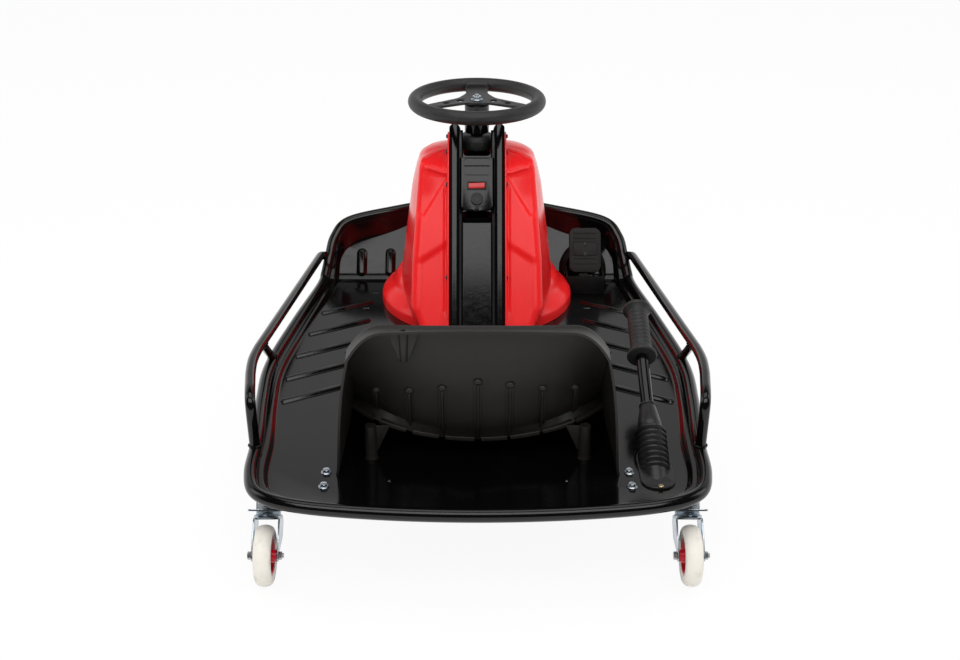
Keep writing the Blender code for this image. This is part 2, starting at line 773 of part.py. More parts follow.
def make_spine():
    """Pressed channel with two ridges, deep side flanges and rounded ears at the top."""
    t = SPINE_SHEET
    inner = SPINE_HALF - RIDGE_W
    draft = 0.003
    outside = [(SPINE_HALF, -FLANGE_DEPTH), (SPINE_HALF, -0.004), (SPINE_HALF - 0.004, 0.0),
               (inner + draft, 0.0), (inner - draft, -RIDGE_H)]
    inside = [(inner - draft - t * 0.6, -RIDGE_H - t), (inner + draft - t * 0.6 + 0.001, -t),
              (SPINE_HALF - 0.0055, -t), (SPINE_HALF - t, -0.0055), (SPINE_HALF - t, -FLANGE_DEPTH)]
    inside[0] = (inner - draft + t * 0.4, -RIDGE_H - t)
    inside[1] = (inner + draft + t * 0.4, -t)
    right = outside + [(-x, z) for x, z in reversed(outside)]
    under = [(-x, z) for x, z in reversed(inside)] + inside
    outline = right + under
    top = slope_at(SPINE_EAR_Z)
    spine = body("spine_channel", moved(prism(outline, -0.06, top, "Y"), rotation=spine_frame()),
                 "black_paint")
    ear_half = RIDGE_W / 2
    notch_low = slope_at(SPINE_WEB_Z)
    notch = [(-inner + draft + 0.001, notch_low + 0.006), (-inner + draft + 0.007, notch_low),
             (inner - draft - 0.007, notch_low), (inner - draft - 0.001, notch_low + 0.006),
             (inner - draft - 0.001, top + 0.03), (-inner + draft + 0.001, top + 0.03)]
    depth = (-FLANGE_DEPTH - 0.02, 0.02)
    cut(spine, moved(prism(notch, *depth), rotation=spine_frame()))
    for side in (1, -1):
        middle = side * (SPINE_HALF - ear_half + 0.001)
        round_top = [(middle + ear_half * math.cos(a), top - ear_half + ear_half * math.sin(a))
                     for a in (math.pi * k / 10 for k in range(11))]
        keep_out = round_top + [(middle - 0.03, top - ear_half), (middle - 0.03, top + 0.03),
                                (middle + 0.03, top + 0.03), (middle + 0.03, top - ear_half)]
        cut(spine, moved(prism(keep_out, *depth), rotation=spine_frame()))
        hole = circle(0.0028, 8, (middle, top - 0.026))
        cut(spine, moved(prism(hole, -0.012, 0.02), rotation=spine_frame()))
    sweep_room = ((0.0, -0.02), (WELL_R, -0.02), (WELL_R, 0.200), (0.150, 0.215), (0.150, 0.298),
                  (0.080, 0.312), (0.080, HEAD_BOTTOM_Z - 0.006), (0.0, HEAD_BOTTOM_Z - 0.006))
    cut(spine, lathe(sweep_room, 32, centre=(0, STEER_Y, 0)))
    for hole in panel_holes(0.0015):
        cut(spine, moved(prism(hole, -0.02, 0.0), rotation=panel_frame(0, 0)))
    cut(spine, under_floor(GAP))
    return spine


def make_head_tube():
    """Head tube with the two plates that weld it between the spine's flanges."""
    inner = HEAD_TUBE_R - HEAD_TUBE_WALL
    bm = tube_ring(HEAD_TUBE_R, inner, HEAD_BOTTOM_Z, HEAD_TOP_Z, 16, centre=(0, STEER_Y, 0))
    head = body("head_tube", bm, "black_paint")
    half = SPINE_HALF - SPINE_SHEET - GAP
    for z in (HEAD_BOTTOM_Z + 0.006, HEAD_TOP_Z - 0.020):
        rear = spine_y(z + PLATE_T) + (RIDGE_H + SPINE_SHEET + GAP) / math.sin(SPINE_SLOPE) + 0.0006
        plate = [(-half, rear + 0.018), (-half + 0.030, rear), (half - 0.030, rear), (half, rear + 0.018),
                 (half, STEER_Y - 0.030), (0.026, STEER_Y + 0.030), (-0.026, STEER_Y + 0.030),
                 (-half, STEER_Y - 0.030)]
        join(head, prism(plate, z, z + PLATE_T))
    cut(head, lathe(((inner, 0.2), (inner, 0.6)), 16, centre=(0, STEER_Y, 0)))


def make_bearings():
    outer = HEAD_TUBE_R - HEAD_TUBE_WALL - GAP
    for name, low in (("bearing_lower", HEAD_BOTTOM_Z + 0.001),
                      ("bearing_upper", HEAD_TOP_Z - 0.001 - BEARING_H)):
        bm = tube_ring(outer, COLUMN_R + GAP, low, low + BEARING_H, 16, centre=(0, STEER_Y, 0))
        body(name, bm, "steel")
    low = HEAD_TOP_Z + GAP
    profile = ((CAP_R - 0.002, low), (CAP_R, low + 0.002), (CAP_R, low + CAP_H - 0.009),
               (CAP_R - 0.006, low + CAP_H), (COLUMN_R + RUN, low + CAP_H), (COLUMN_R + RUN, low))
    body("bearing_cap", lathe(profile, 24, centre=(0, STEER_Y, 0), ring=True), "black_plastic")


def panel_frame(down, out):
    """Frame on the switch panel: distance down from its top edge, and out of its face."""
    along = slope_at(PANEL_TOP_Z) - down
    return spine_frame() @ Matrix.Translation((0, along, out))


def panel_face():
    """Height of the panel's face over the ridges' face, negative as it lies lower."""
    return -RIDGE_H + GAP + PANEL_T


def make_switch_panel():
    """Moulded insert in the spine's recess with openings for the switch and the charge port."""
    half = SPINE_HALF - RIDGE_W - 0.0045
    low = -RIDGE_H + GAP
    face = panel_face()
    outline = [(-half, 0), (half, 0), (half, -PANEL_LENGTH)]
    for k in range(1, 8):
        angle = math.pi * k / 8
        outline.append((half * 0.72 * math.cos(angle), -PANEL_LENGTH - 0.010 * math.sin(angle) ** 0.5))
    outline.append((-half, -PANEL_LENGTH))
    panel = body("switch_panel", moved(prism(outline, low, face), rotation=panel_frame(0, 0)),
                 "black_paint")
    recess = rounded_box(half - 0.006, 0.013, 0.004, 3, (0, -0.022))
    cut(panel, moved(prism(recess, face - 0.0016, face + 0.01), rotation=panel_frame(0, 0)))
    bezel = rounded_box(SWITCH_HALF, SWITCH_WIDE, 0.0025, 3, (0, -SWITCH_DOWN))
    boss = circle(0.0042, 14, (0, -PORT_HINGE_DOWN - 0.001))
    for outline in (bezel, boss):
        join(panel, moved(prism(outline, face - 0.001, face + PORT_FLANGE_T), rotation=panel_frame(0, 0)))
    for hole in panel_holes(0.0):
        cut(panel, moved(prism(hole, low - 0.01, face + 0.01), rotation=panel_frame(0, 0)))


def panel_holes(room):
    """Outlines of the switch window and the port's hole, in the panel's frame."""
    window = rounded_box(SWITCH_WINDOW_X + room, SWITCH_WINDOW_Y + room, 0.001, 2, (0, -SWITCH_DOWN))
    return window, circle(PORT_BODY_R + GAP + room, 14, (0, -PORT_DOWN))


def make_switch_and_port():
    """Rocker of the power switch, the charge socket and its rubber cap."""
    face = panel_face()
    place = panel_frame(SWITCH_DOWN, face - 0.004)
    axis = joint_empty("power_switch_axis", place.to_translation(), place.to_euler())
    reach = SWITCH_WINDOW_X - RUN
    tall = 0.0062
    outline = [(-reach, tall), (0.0, tall - 0.0016), (reach, tall), (reach * 0.80, 0.0),
               (reach * 0.42, -0.0035), (0.0, -0.0045), (-reach * 0.42, -0.0035), (-reach * 0.80, 0.0)]
    across = SWITCH_WINDOW_Y - RUN
    body("switch_rocker", prism(outline, -across, across, "Y"), "red_rocker", axis,
         rotation=(0, -ROCKER_SWING / 2, 0))

    flange = PORT_R - 0.0012
    depth = -PANEL_T - 0.010
    floor = depth + 0.004
    bore = PORT_BODY_R - 0.0016
    socket = ((0.0, depth), (PORT_BODY_R, depth), (PORT_BODY_R, GAP), (flange, GAP), (flange, PORT_FLANGE_T),
              (bore, PORT_FLANGE_T), (bore, floor), (0.0022, floor), (0.0022, -0.002), (0.0, -0.002))
    body("charge_port", moved(lathe(socket, 14), rotation=panel_frame(PORT_DOWN, face)), "black_plastic")

    low = -0.0022 + GAP
    place = panel_frame(PORT_HINGE_DOWN, face + PORT_FLANGE_T + 0.0022)
    axis = joint_empty("charge_cap_axis", place.to_translation(), place.to_euler())
    over = PORT_HINGE_DOWN - PORT_DOWN
    disc = ((0.0, low), (PORT_R, low), (PORT_R, low + 0.0045), (PORT_R - 0.0015, low + 0.006), (0.0, low + 0.006))
    cap = body("charge_cap", lathe(disc, 20, centre=(0, over, 0)), "rubber", axis)
    strap = [(-0.0042, 0.0), (0.0042, 0.0), (0.0048, over - 0.006), (-0.0048, over - 0.006)]
    join(cap, prism(strap, low, low + 0.0026))


# Shroud
def shroud_section(height, rear_half, side_half, reach, inset):
    """Plan of the shroud's tower at one height, as a closed ring from the rear middle."""
    rear = spine_y(min(height, SHROUD_CREASE_Z)) + SHROUD_SET_BACK + inset
    rear += max(0.0, height - SHROUD_CREASE_Z) * SHROUD_CAP_LEAN
    corner = min(0.016, rear_half * 0.4)
    rear_half -= inset
    side_half -= inset
    reach -= inset
    right = [(rear_half * 0.30, rear), (rear_half * 0.62, rear)]
    for k in range(4):
        angle = -math.pi / 2 + math.pi / 2 * k / 3
        right.append((rear_half - corner + corner * math.cos(angle), rear + corner + corner * math.sin(angle)))
    for k in range(1, 3):
        f = k / 3
        right.append((rear_half + (side_half - rear_half) * math.sin(f * math.pi / 2),
                      rear + corner + (STEER_Y - rear - corner) * f))
    for k in range(7):
        angle = math.pi / 2 * k / 7
        right.append((side_half * math.cos(angle) ** 0.80, STEER_Y + reach * math.sin(angle) ** 0.92))
    ring = [(0.0, rear), *right, (0.0, STEER_Y + reach)]
    ring += [(-x, y) for x, y in reversed(right)]
    return [(x, y, height) for x, y in ring]


def shroud_body(inset):
    """Tower and dome as one closed body, made smaller all round by the inset."""
    rings = [shroud_section(*level, inset) for level in SHROUD_LEVELS]
    drop = inset if inset > 0 else 0.0
    rings = [[(x, y, z - drop) for x, y, z in ring] for ring in rings]
    tower = body("shroud_work", loft(rings))
    profile = [(max(0.0, r - inset) if r else 0.0, z - drop) for r, z in DOME_PROFILE]
    profile[-1] = (0.0, profile[-1][1])
    dome = lathe(((0.0, profile[0][1]),) + tuple(profile), 44, centre=(0, STEER_Y, 0))
    join(tower, dome)
    bm = bmesh.new()
    bm.from_mesh(tower.data)
    bpy.data.objects.remove(tower)
    return bm


def make_shroud():
    """Two moulded halves that meet in front and bolt to the spine's sides at the rear."""
    right = body("shroud_right", shroud_body(0.0), "red_shell")
    cut(right, shroud_body(SHELL_T))
    spine_half = SPINE_HALF + GAP
    top = 0.60
    channel = [(-0.30, -0.02), (STEER_Y + 0.045, -0.02), (STEER_Y + 0.045, top), (-0.30, top)]
    cut(right, prism(channel, -0.5, spine_half, "X"))
    cut(right, prism([(STEER_Y + 0.04, -0.02), (0.7, -0.02), (0.7, top), (STEER_Y + 0.04, top)],
                     -0.5, GAP / 2, "X"))
    cut(right, under_floor(GAP))
    join(right, shroud_flange())
    mirrored(right, "shroud_left", "red_shell")


def shroud_flange():
    """Flat strip of the shroud against the spine's side, standing a little proud of it."""
    lift = 0.004
    deep = 0.020
    low = FLOOR_Z + 0.004
    high = SPINE_EAR_Z - 0.018
    outline = [(spine_y(low) - lift, low), (spine_y(high) - lift, high),
               (spine_y(high) + deep, high), (spine_y(low) + deep + 0.012, low)]
    return prism(outline, SPINE_HALF + GAP, SPINE_HALF + GAP + 0.0028, "X")


# Seat
def seat_profile():
    """Middle of the seat from its front edge back and up to the top of the back, as (y, z)."""
    rise = FLOOR_Z
    points = [(SEAT_FRONT_Y, rise + 0.040, 0), (SEAT_FRONT_Y - 0.028, rise + 0.058, 0),
              (SEAT_FRONT_Y - 0.090, rise + 0.057, 0), (SEAT_FRONT_Y - 0.190, rise + 0.047, 0),
              (SEAT_FRONT_Y - 0.290, rise + 0.041, 0), (SEAT_FRONT_Y - 0.345, rise + 0.040, 0),
              (SEAT_FRONT_Y - 0.372, rise + 0.068, 0), (SEAT_FRONT_Y - 0.383, rise + 0.125, 0),
              (SEAT_FRONT_Y - 0.389, rise + 0.190, 0), (SEAT_FRONT_Y - 0.391, rise + SEAT_BACK_RISE, 0)]
    return [(p.x, p.y) for p in spline(points, SEAT_ROWS)]


SEAT_ROWS = 15
SEAT_CORNER = 8              # profile station where the cushion turns into the back
SEAT_COLUMNS = 10


def arch_height(x):
    """Top edge of the seat's back above the floor, over the width."""
    f = min(1.0, abs(x) / SEAT_HALF)
    return SEAT_BACK_RISE - 0.004 * f ** 2 - 0.046 * (max(0.0, f - 0.70) / 0.30) ** 2.4


def seat_point(u, k, profile):
    """Point of the seat's skin: u from -1 to 1 across, k along the profile."""
    y, z = profile[k]
    bow = abs(u) ** 2.4
    back = max(0.0, (k - SEAT_CORNER + 4) / (len(profile) - 1 - SEAT_CORNER + 4))
    back = min(1.0, back * 1.9)
    cushion = 1.0 - back
    climb = max(0.0, (k - SEAT_CORNER) / (len(profile) - 1 - SEAT_CORNER))
    top = arch_height(u * SEAT_HALF)
    scale = (z - FLOOR_Z) * (top / SEAT_BACK_RISE * back + cushion)
    height = FLOOR_Z + scale + SEAT_SIDE_LIFT * bow * (1.0 - climb * back)
    wrap = SEAT_WRAP_FOOT + (SEAT_WRAP_TOP - SEAT_WRAP_FOOT) * climb
    return Vector((u * SEAT_HALF, y + wrap * bow * back, height))


def seat_foot(u, k, profile, side_edge):
    """Where the skin's edge ends: on the floor round the cushion, in the rear plane at the back."""
    last = len(profile) - 1
    if not side_edge:
        if k == 0:
            return Vector((u * SEAT_SKIRT_HALF, SEAT_FRONT_Y + 0.010, SEAT_Z))
        return Vector((u * (SEAT_HALF - 0.002), SEAT_REAR_Y, FLOOR_Z + arch_height(u * SEAT_HALF) + 0.005))
    side = 1 if u > 0 else -1
    if k <= SEAT_CORNER:
        front = profile[0][0]
        f = (front - profile[k][0]) / (front - profile[SEAT_CORNER][0])
        y = SEAT_FRONT_Y + 0.010 + (SEAT_REAR_Y - SEAT_FRONT_Y - 0.010) * f
        return Vector((side * SEAT_SKIRT_HALF, y, SEAT_Z))
    f = (k - SEAT_CORNER) / (last - SEAT_CORNER)
    top = arch_height(SEAT_HALF) + 0.005
    taper = SEAT_SKIRT_HALF - SEAT_HALF + 0.002
    width = SEAT_SKIRT_HALF - taper * (0.35 * f ** 0.5 + 0.65 * f ** 3)
    return Vector((side * width, SEAT_REAR_Y, FLOOR_Z + top * f))


def make_seat():
    """One moulded shell: dished cushion, wrapped back and a rim that turns down and back."""
    profile = seat_profile()
    rows = len(profile)
    columns = [-1 + 2 * j / SEAT_COLUMNS for j in range(SEAT_COLUMNS + 1)]
    bm = bmesh.new()
    grid = [[bm.verts.new(seat_point(u, k, profile)) for u in columns] for k in range(rows)]
    for low, high in zip(grid, grid[1:]):
        for j in range(SEAT_COLUMNS):
            bm.faces.new((low[j], low[j + 1], high[j + 1], high[j]))
    edge = [(0, j) for j in range(SEAT_COLUMNS)]
    edge += [(k, SEAT_COLUMNS) for k in range(rows - 1)]
    edge += [(rows - 1, j) for j in range(SEAT_COLUMNS, 0, -1)]
    edge += [(k, 0) for k in range(rows - 1, 0, -1)]
    inner = [grid[k][j] for k, j in edge]
    rolls = []
    feet = []
    for k, j in edge:
        on_side = j in (0, SEAT_COLUMNS)
        foot = seat_foot(columns[j], k, profile, on_side)
        start = grid[k][j].co
        lift = Vector((0, 0, 0.004)) if k > 0 else Vector((0, 0.004, 0))
        rolls.append(bm.verts.new(start.lerp(foot, 0.10) + lift))
        feet.append(bm.verts.new(foot))
    for near, far in ((inner, rolls), (rolls, feet)):
        for n in range(len(edge)):
            m = (n + 1) % len(edge)
            bm.faces.new((near[m], near[n], far[n], far[m]))
    bmesh.ops.recalc_face_normals(bm, faces=bm.faces)
    middle = grid[4][SEAT_COLUMNS // 2]
    if middle.link_faces[0].normal.z < 0:
        bmesh.ops.reverse_faces(bm, faces=bm.faces)
    seat = body("seat_shell", bm, "seat_plastic")
    thicken(seat, SEAT_WALL)
    cut(seat, under_floor(GAP))
    return seat


def make_seat_posts(seat):
    """Posts from the floor to the lowest place of the shell's underside above them."""
    for side in (1, -1):
        centre = (side * POST_X, POST_Y)
        tops = []
        for radius in (POST_R, POST_R / 2, 0.0):
            for x, y in circle(radius, 12, centre):
                start = Vector((x, y, SEAT_Z + SEAT_WALL))
                hit, place, _, _ = seat.ray_cast(start, Vector((0, 0, 1)))
                tops.append(place.z if hit else SEAT_Z + SEAT_WALL)
        body("seat_post_" + side_name(side), prism(circle(POST_R, 12, centre), SEAT_Z, min(tops) - 2 * GAP),
             "black_plastic")


# Batteries and controller
def make_electrics():
    """Tray under the floor with two batteries, and the motor controller ahead of it."""
    length, depth, height = BATTERY
    half_x = length + TRAY_ROOM * 2 + TRAY_SHEET
    half_y = depth / 2 + TRAY_ROOM + TRAY_SHEET
    top = PAN_UNDER - GAP
    inside = height + 0.003
    low = top - inside - TRAY_SHEET
    outer = rounded_box(half_x, half_y, 0.004, 3, (0, BATTERY_Y))
    tray = body("battery_tray", prism(outer, low, top), "black_paint")
    rim = rounded_box(half_x, half_y + TRAY_FLANGE, 0.006, 3, (0, BATTERY_Y))
    join(tray, prism(rim, top - TRAY_SHEET, top))
    hollow = rounded_box(half_x - TRAY_SHEET, half_y - TRAY_SHEET, 0.003, 3, (0, BATTERY_Y))
    cut(tray, prism(hollow, low + TRAY_SHEET, top + 0.01))
    for side in (1, -1):
        middle = (side * (length / 2 + TRAY_ROOM), BATTERY_Y)
        case = rounded_box(length / 2, depth / 2, 0.003, 3, middle)
        base = low + TRAY_SHEET + GAP
        body("battery_" + side_name(side), prism(case, base, base + height), "battery_case")
    long, wide, tall = CONTROLLER
    case = rounded_box(long / 2, wide / 2, 0.004, 3, (0, CONTROLLER_Y))
    body("motor_controller", prism(case, top - tall, top), "alloy")


# Drive wheel, fork and steering, all built round the steering axis
def make_drive_wheel(steer):
    axle = joint_empty("drive_axle_axis", (0, 0, TYRE_R), parent=steer)
    half = TYRE_W / 2
    bead_r = TYRE_R - TYRE_DEPTH
    crown = []
    for k in range(7):
        angle = math.pi * k / 6
        crown.append((bead_r + 0.012 + (TYRE_DEPTH - 0.012) * math.sin(angle) ** 0.8,
                      half * math.cos(angle)))
    tyre = [(bead_r, half * 0.72), *crown, (bead_r, -half * 0.72)]
    body("drive_tyre", lathe(tyre, TYRE_SIDES, "X", ring=True, phase=0.0), "tyre", axle)
    out = bead_r * math.cos(math.pi / TYRE_SIDES) - GAP
    seat_w = half * 0.72
    rim = ((out, seat_w - 0.004), (out, -seat_w + 0.004), (out - RIM_WALL, -seat_w + 0.004),
           (out - RIM_WALL, -0.004), (HUB_R, -0.006), (HUB_R, -HUB_HALF), (AXLE_R + GAP, -HUB_HALF),
           (AXLE_R + GAP, HUB_HALF), (HUB_R, HUB_HALF), (HUB_R, 0.006), (out - RIM_WALL, 0.004),
           (out - RIM_WALL, seat_w - 0.004))
    body("drive_rim", lathe(rim, 20, "X", ring=True), "alloy", axle)
    low = HUB_HALF + GAP
    sprocket("wheel_sprocket", WHEEL_TEETH, AXLE_R + GAP, low, low + SPROCKET_T, 0.0, axle)
    return low


def pitch_radius(teeth):
    return CHAIN_PITCH / (2 * math.sin(math.pi / teeth))


def sprocket(name, teeth, bore, low, high, phase, parent):
    """Toothed disc across X with its bore."""
    pitch_r = pitch_radius(teeth)
    rim = []
    for k in range(2 * teeth):
        radius = pitch_r + (TOOTH_H if k % 2 else -TOOTH_H)
        angle = math.pi * (k + phase) / teeth
        rim.append((radius * math.cos(angle), radius * math.sin(angle)))
    disc = body(name, prism(rim, low, high, "X"), "steel", parent)
    if bore:
        cut(disc, prism(circle(bore, 12), low - 0.01, high + 0.01, "X"))
    return disc


def make_fork_and_drive(steer, sprocket_low):
    """Fork with its motor plate, axle, motor, motor sprocket and chain."""
    outer = FORK_INNER + FORK_SHEET
    crown = rounded_box(outer, FORK_LEG_W / 2 + 0.008, 0.010, 2)
    fork = body("front_fork", prism(crown, FORK_CROWN_Z, FORK_CROWN_Z + FORK_CROWN_T), "black_paint", steer)
    for side in (1, -1):
        leg = [(-FORK_LEG_W / 2, FORK_CROWN_Z + 0.008), (FORK_LEG_W / 2, FORK_CROWN_Z + 0.008)]
        for k in range(7):
            angle = -math.pi * k / 6
            leg.append((0.017 * math.cos(angle), TYRE_R + 0.017 * math.sin(angle)))
        low, high = sorted((side * FORK_INNER, side * outer))
        join(fork, prism(leg, low, high, "X"))
        cut(fork, prism(circle(AXLE_R + GAP, 12, (0, TYRE_R)), low - 0.01, high + 0.01, "X"))
    plate = rounded_box(MOTOR_R - 0.004, MOTOR_R - 0.004, 0.012, 2, (0, MOTOR_Z))
    join(fork, prism(plate, outer - 0.001, outer + 0.003, "X"))
    cut(fork, prism(circle(0.0085, 14, (0, MOTOR_Z)), FORK_INNER - 0.01, outer + 0.01, "X"))

    nut = outer + GAP
    tip = nut + 0.012
    profile = []
    for sign in (-1, 1):
        part = [(0.0, tip), (AXLE_R, tip), (AXLE_R, nut + 0.008), (0.0105, nut + 0.008), (0.0105, nut),
                (AXLE_R, nut), (AXLE_R, FORK_INNER - GAP), (0.010, FORK_INNER - GAP)]
        stop = sprocket_low + SPROCKET_T + GAP if sign > 0 else HUB_HALF + GAP
        part += [(0.010, stop), (AXLE_R, stop)]
        part = [(r, sign * x) for r, x in part]
        profile += part if sign < 0 else list(reversed(part))
    body("drive_axle", lathe(profile, 10, "X", centre=(0, 0, TYRE_R)), "steel", steer)

    face = outer + 0.003 + GAP
    bore = MOTOR_SHAFT_R + GAP
    back = face + MOTOR_LENGTH
    can = ((0.0, face + 0.030), (bore, face + 0.030), (bore, face), (MOTOR_R - 0.003, face),
           (MOTOR_R, face + 0.003), (MOTOR_R, face + 0.014), (MOTOR_R - 0.0015, face + 0.016),
           (MOTOR_R - 0.0015, back - 0.006), (MOTOR_R - 0.006, back), (0.0, back))
    body("drive_motor", lathe(can, 20, "X", centre=(0, 0, MOTOR_Z)), "black_plastic", steer)

    pinion_axis = joint_empty("motor_sprocket_axis", (0, 0, MOTOR_Z), parent=steer)
    pinion = sprocket("motor_sprocket", MOTOR_TEETH, 0.0, sprocket_low, sprocket_low + SPROCKET_T, 0.5, pinion_axis)
    shaft = lathe(((0.0, sprocket_low + 0.0005), (0.0055, sprocket_low + 0.0005), (0.0055, FORK_INNER + 0.002),
                   (MOTOR_SHAFT_R, FORK_INNER + 0.002), (MOTOR_SHAFT_R, face + 0.028), (0.0, face + 0.028)),
                  12, "X")
    join(pinion, shaft)
    body("drive_chain", chain(sprocket_low + SPROCKET_T / 2), "steel", steer)


def chain(middle_x):
    """Chain as a closed band that runs just clear of both sprockets' teeth."""
    clear = TOOTH_H + RUN
    spread = MOTOR_Z - TYRE_R
    big = pitch_radius(WHEEL_TEETH) + clear
    small = pitch_radius(MOTOR_TEETH) + clear
    lean = math.asin((big - small) / spread)
    centre_line = []
    for k in range(25):
        angle = math.pi - lean + (math.pi + 2 * lean) * k / 24
        centre_line.append((big, angle, TYRE_R))
    for k in range(13):
        angle = lean + (math.pi - 2 * lean) * k / 12
        centre_line.append((small, angle, MOTOR_Z))
    thick = 0.0045
    rings = []
    for r, angle, z in centre_line:
        ring = []
        for extra, x in ((0.0, -1), (thick, -1), (thick, 1), (0.0, 1)):
            ring.append((middle_x + x * CHAIN_W / 2, (r + extra) * math.cos(angle),
                         z + (r + extra) * math.sin(angle)))
        rings.append(ring)
    return loft(rings, wrap=True)


def make_steering(steer):
    """Column with its collar, the rim, the flat spokes and the centre nut."""
    low = FORK_CROWN_Z + FORK_CROWN_T + GAP
    plate_z = STEERING_Z - 0.003
    top = plate_z - GAP
    column = ((0.0, low), (COLUMN_R, low), (COLUMN_R, COLLAR_Z), (COLLAR_R, COLLAR_Z),
              (COLLAR_R, top - 0.004), (COLLAR_R - 0.003, top), (0.0, top))
    body("steering_column", lathe(column, 20), "black_paint", steer)
    ring = circle(STEERING_GRIP_R, 8)
    path = [(x, y, STEERING_Z) for x, y in circle(STEERING_R, 32)]
    body("steering_rim", sweep(path, ring, closed=True, up=(0, 0, 1)), "rubber", steer)
    reach = STEERING_R - STEERING_GRIP_R - 2 * GAP
    plate = body("steering_spokes", prism(circle(SPOKE_HUB_R, 14), plate_z, plate_z + SPOKE_T), "black_paint", steer)
    for turn in (90, 210, 330):
        angle = math.radians(turn)
        wide = SPOKE_W / 2
        arm = [(0.0, -wide - 0.006), (SPOKE_HUB_R + 0.010, -wide), (reach - 0.012, -wide * 0.8),
               (reach, -wide * 1.25), (reach, wide * 1.25), (reach - 0.012, wide * 0.8),
               (SPOKE_HUB_R + 0.010, wide), (0.0, wide + 0.006)]
        join(plate, moved(prism(arm, plate_z, plate_z + SPOKE_T), rotation=Matrix.Rotation(angle, 4, "Z")))
    for turn in (210, 330):
        for distance in (0.045, 0.070):
            centre = (distance * math.cos(math.radians(turn)), distance * math.sin(math.radians(turn)))
            cut(plate, prism(circle(SPOKE_HOLE_R, 8, centre), plate_z - 0.01, plate_z + 0.02))
    base = plate_z + SPOKE_T + GAP
    nut = body("steering_nut", prism(circle(0.0100, 14), base, base + 0.0015), "zinc", steer)
    join(nut, prism(circle(0.0085, 6), base + 0.0010, base + 0.0080))
    join(nut, prism(circle(0.0042, 12), base + 0.0075, base + 0.0110))


# Drift bar, lever and casters
def make_drift_bar():
    axis = joint_empty("drift_bar_axis", (0, BAR_Y, BAR_Z))
    body("drift_bar", lathe(((0.0, -BAR_HALF), (BAR_R, -BAR_HALF), (BAR_R, BAR_HALF), (0.0, BAR_HALF)),
                            20, "X"), "zinc", axis)
    along = Vector((0, math.cos(LEVER_ANGLE), math.sin(LEVER_ANGLE)))
    origin = Vector((LEVER_X, 0, 0))
    lever = body("drift_lever", sweep([origin, origin + along * 0.1, origin + along * LEVER_LENGTH],
                                      circle(LEVER_R, 14)), "black_paint", axis)
    cut(lever, lathe(((BAR_R + GAP, -0.05), (BAR_R + GAP, 0.05)), 32, "X", centre=(LEVER_X, 0, 0)))
    turn = Matrix.Translation(origin) @ Matrix.Rotation(LEVER_ANGLE - math.pi / 2, 4, "X")
    bore = LEVER_R + GAP
    end = LEVER_LENGTH + GAP
    flange = GRIP_FLANGE_T
    grip = ((0.0, end), (bore, end), (bore, GRIP_START), (GRIP_FLANGE_R - 0.002, GRIP_START),
            (GRIP_FLANGE_R, GRIP_START + 0.002),
            (GRIP_FLANGE_R, GRIP_START + flange - 0.002), (GRIP_FLANGE_R - 0.002, GRIP_START + flange),
            (GRIP_R + 0.001, GRIP_START + flange + 0.003), (GRIP_R, GRIP_START + flange + 0.010),
            (GRIP_R, GRIP_END - flange - 0.008), (GRIP_FLANGE_R - 0.004, GRIP_END - flange - 0.003),
            (GRIP_FLANGE_R - 0.001, GRIP_END - flange), (GRIP_FLANGE_R - 0.001, GRIP_END - 0.003),
            (GRIP_FLANGE_R - 0.004, GRIP_END), (0.0, GRIP_END + 0.002))
    body("lever_grip", moved(lathe(grip, 14), rotation=turn), "rubber", axis)
    return axis


def make_drift_brackets():
    """Saddles that hold the bar under the floor, each with two flange bolts."""
    top = PAN_UNDER - GAP
    shell = BAR_R + RUN + BRACKET_WALL
    outline = [(BAR_Y - BRACKET_REACH, top), (BAR_Y - BRACKET_REACH, top - BRACKET_FLANGE_T)]
    start = math.asin(min(0.99, (top - BRACKET_FLANGE_T - BAR_Z) / shell))
    for k in range(9):
        angle = math.pi - start + (math.pi + 2 * start) * k / 8
        outline.append((BAR_Y + shell * math.cos(angle), BAR_Z + shell * math.sin(angle)))
    outline += [(BAR_Y + BRACKET_REACH, top - BRACKET_FLANGE_T), (BAR_Y + BRACKET_REACH, top)]
    for side in (1, -1):
        middle = side * BRACKET_X
        saddle = body("drift_bracket_" + side_name(side),
                      prism(outline, middle - BRACKET_HALF_X, middle + BRACKET_HALF_X, "X"), "black_paint")
        cut(saddle, lathe(((BAR_R + GAP, -0.03), (BAR_R + GAP, 0.03)), 20, "X", centre=(middle, BAR_Y, BAR_Z)))
        for end, word in ((1, "front"), (-1, "rear")):
            place = (middle, BAR_Y + end * BOLT_REACH)
            cut(saddle, prism(circle(BOLT_R + GAP, 8, place), BAR_Z, top + 0.01))
            bolt = body(f"drift_bolt_{side_name(side)}_{word}",
                        prism(circle(BOLT_HEAD_R + 0.0025, 10, place), SEAT_Z, SEAT_Z + 0.0018), "zinc")
            join(bolt, prism(circle(BOLT_HEAD_R, 6, place), SEAT_Z + 0.001, SEAT_Z + BOLT_HEAD_H))
            under = top - BRACKET_FLANGE_T - GAP
            join(bolt, prism(circle(BOLT_R, 8, place), under - 0.008, SEAT_Z + 0.001))
            join(bolt, prism(circle(BOLT_HEAD_R, 6, place), under - 0.006, under))


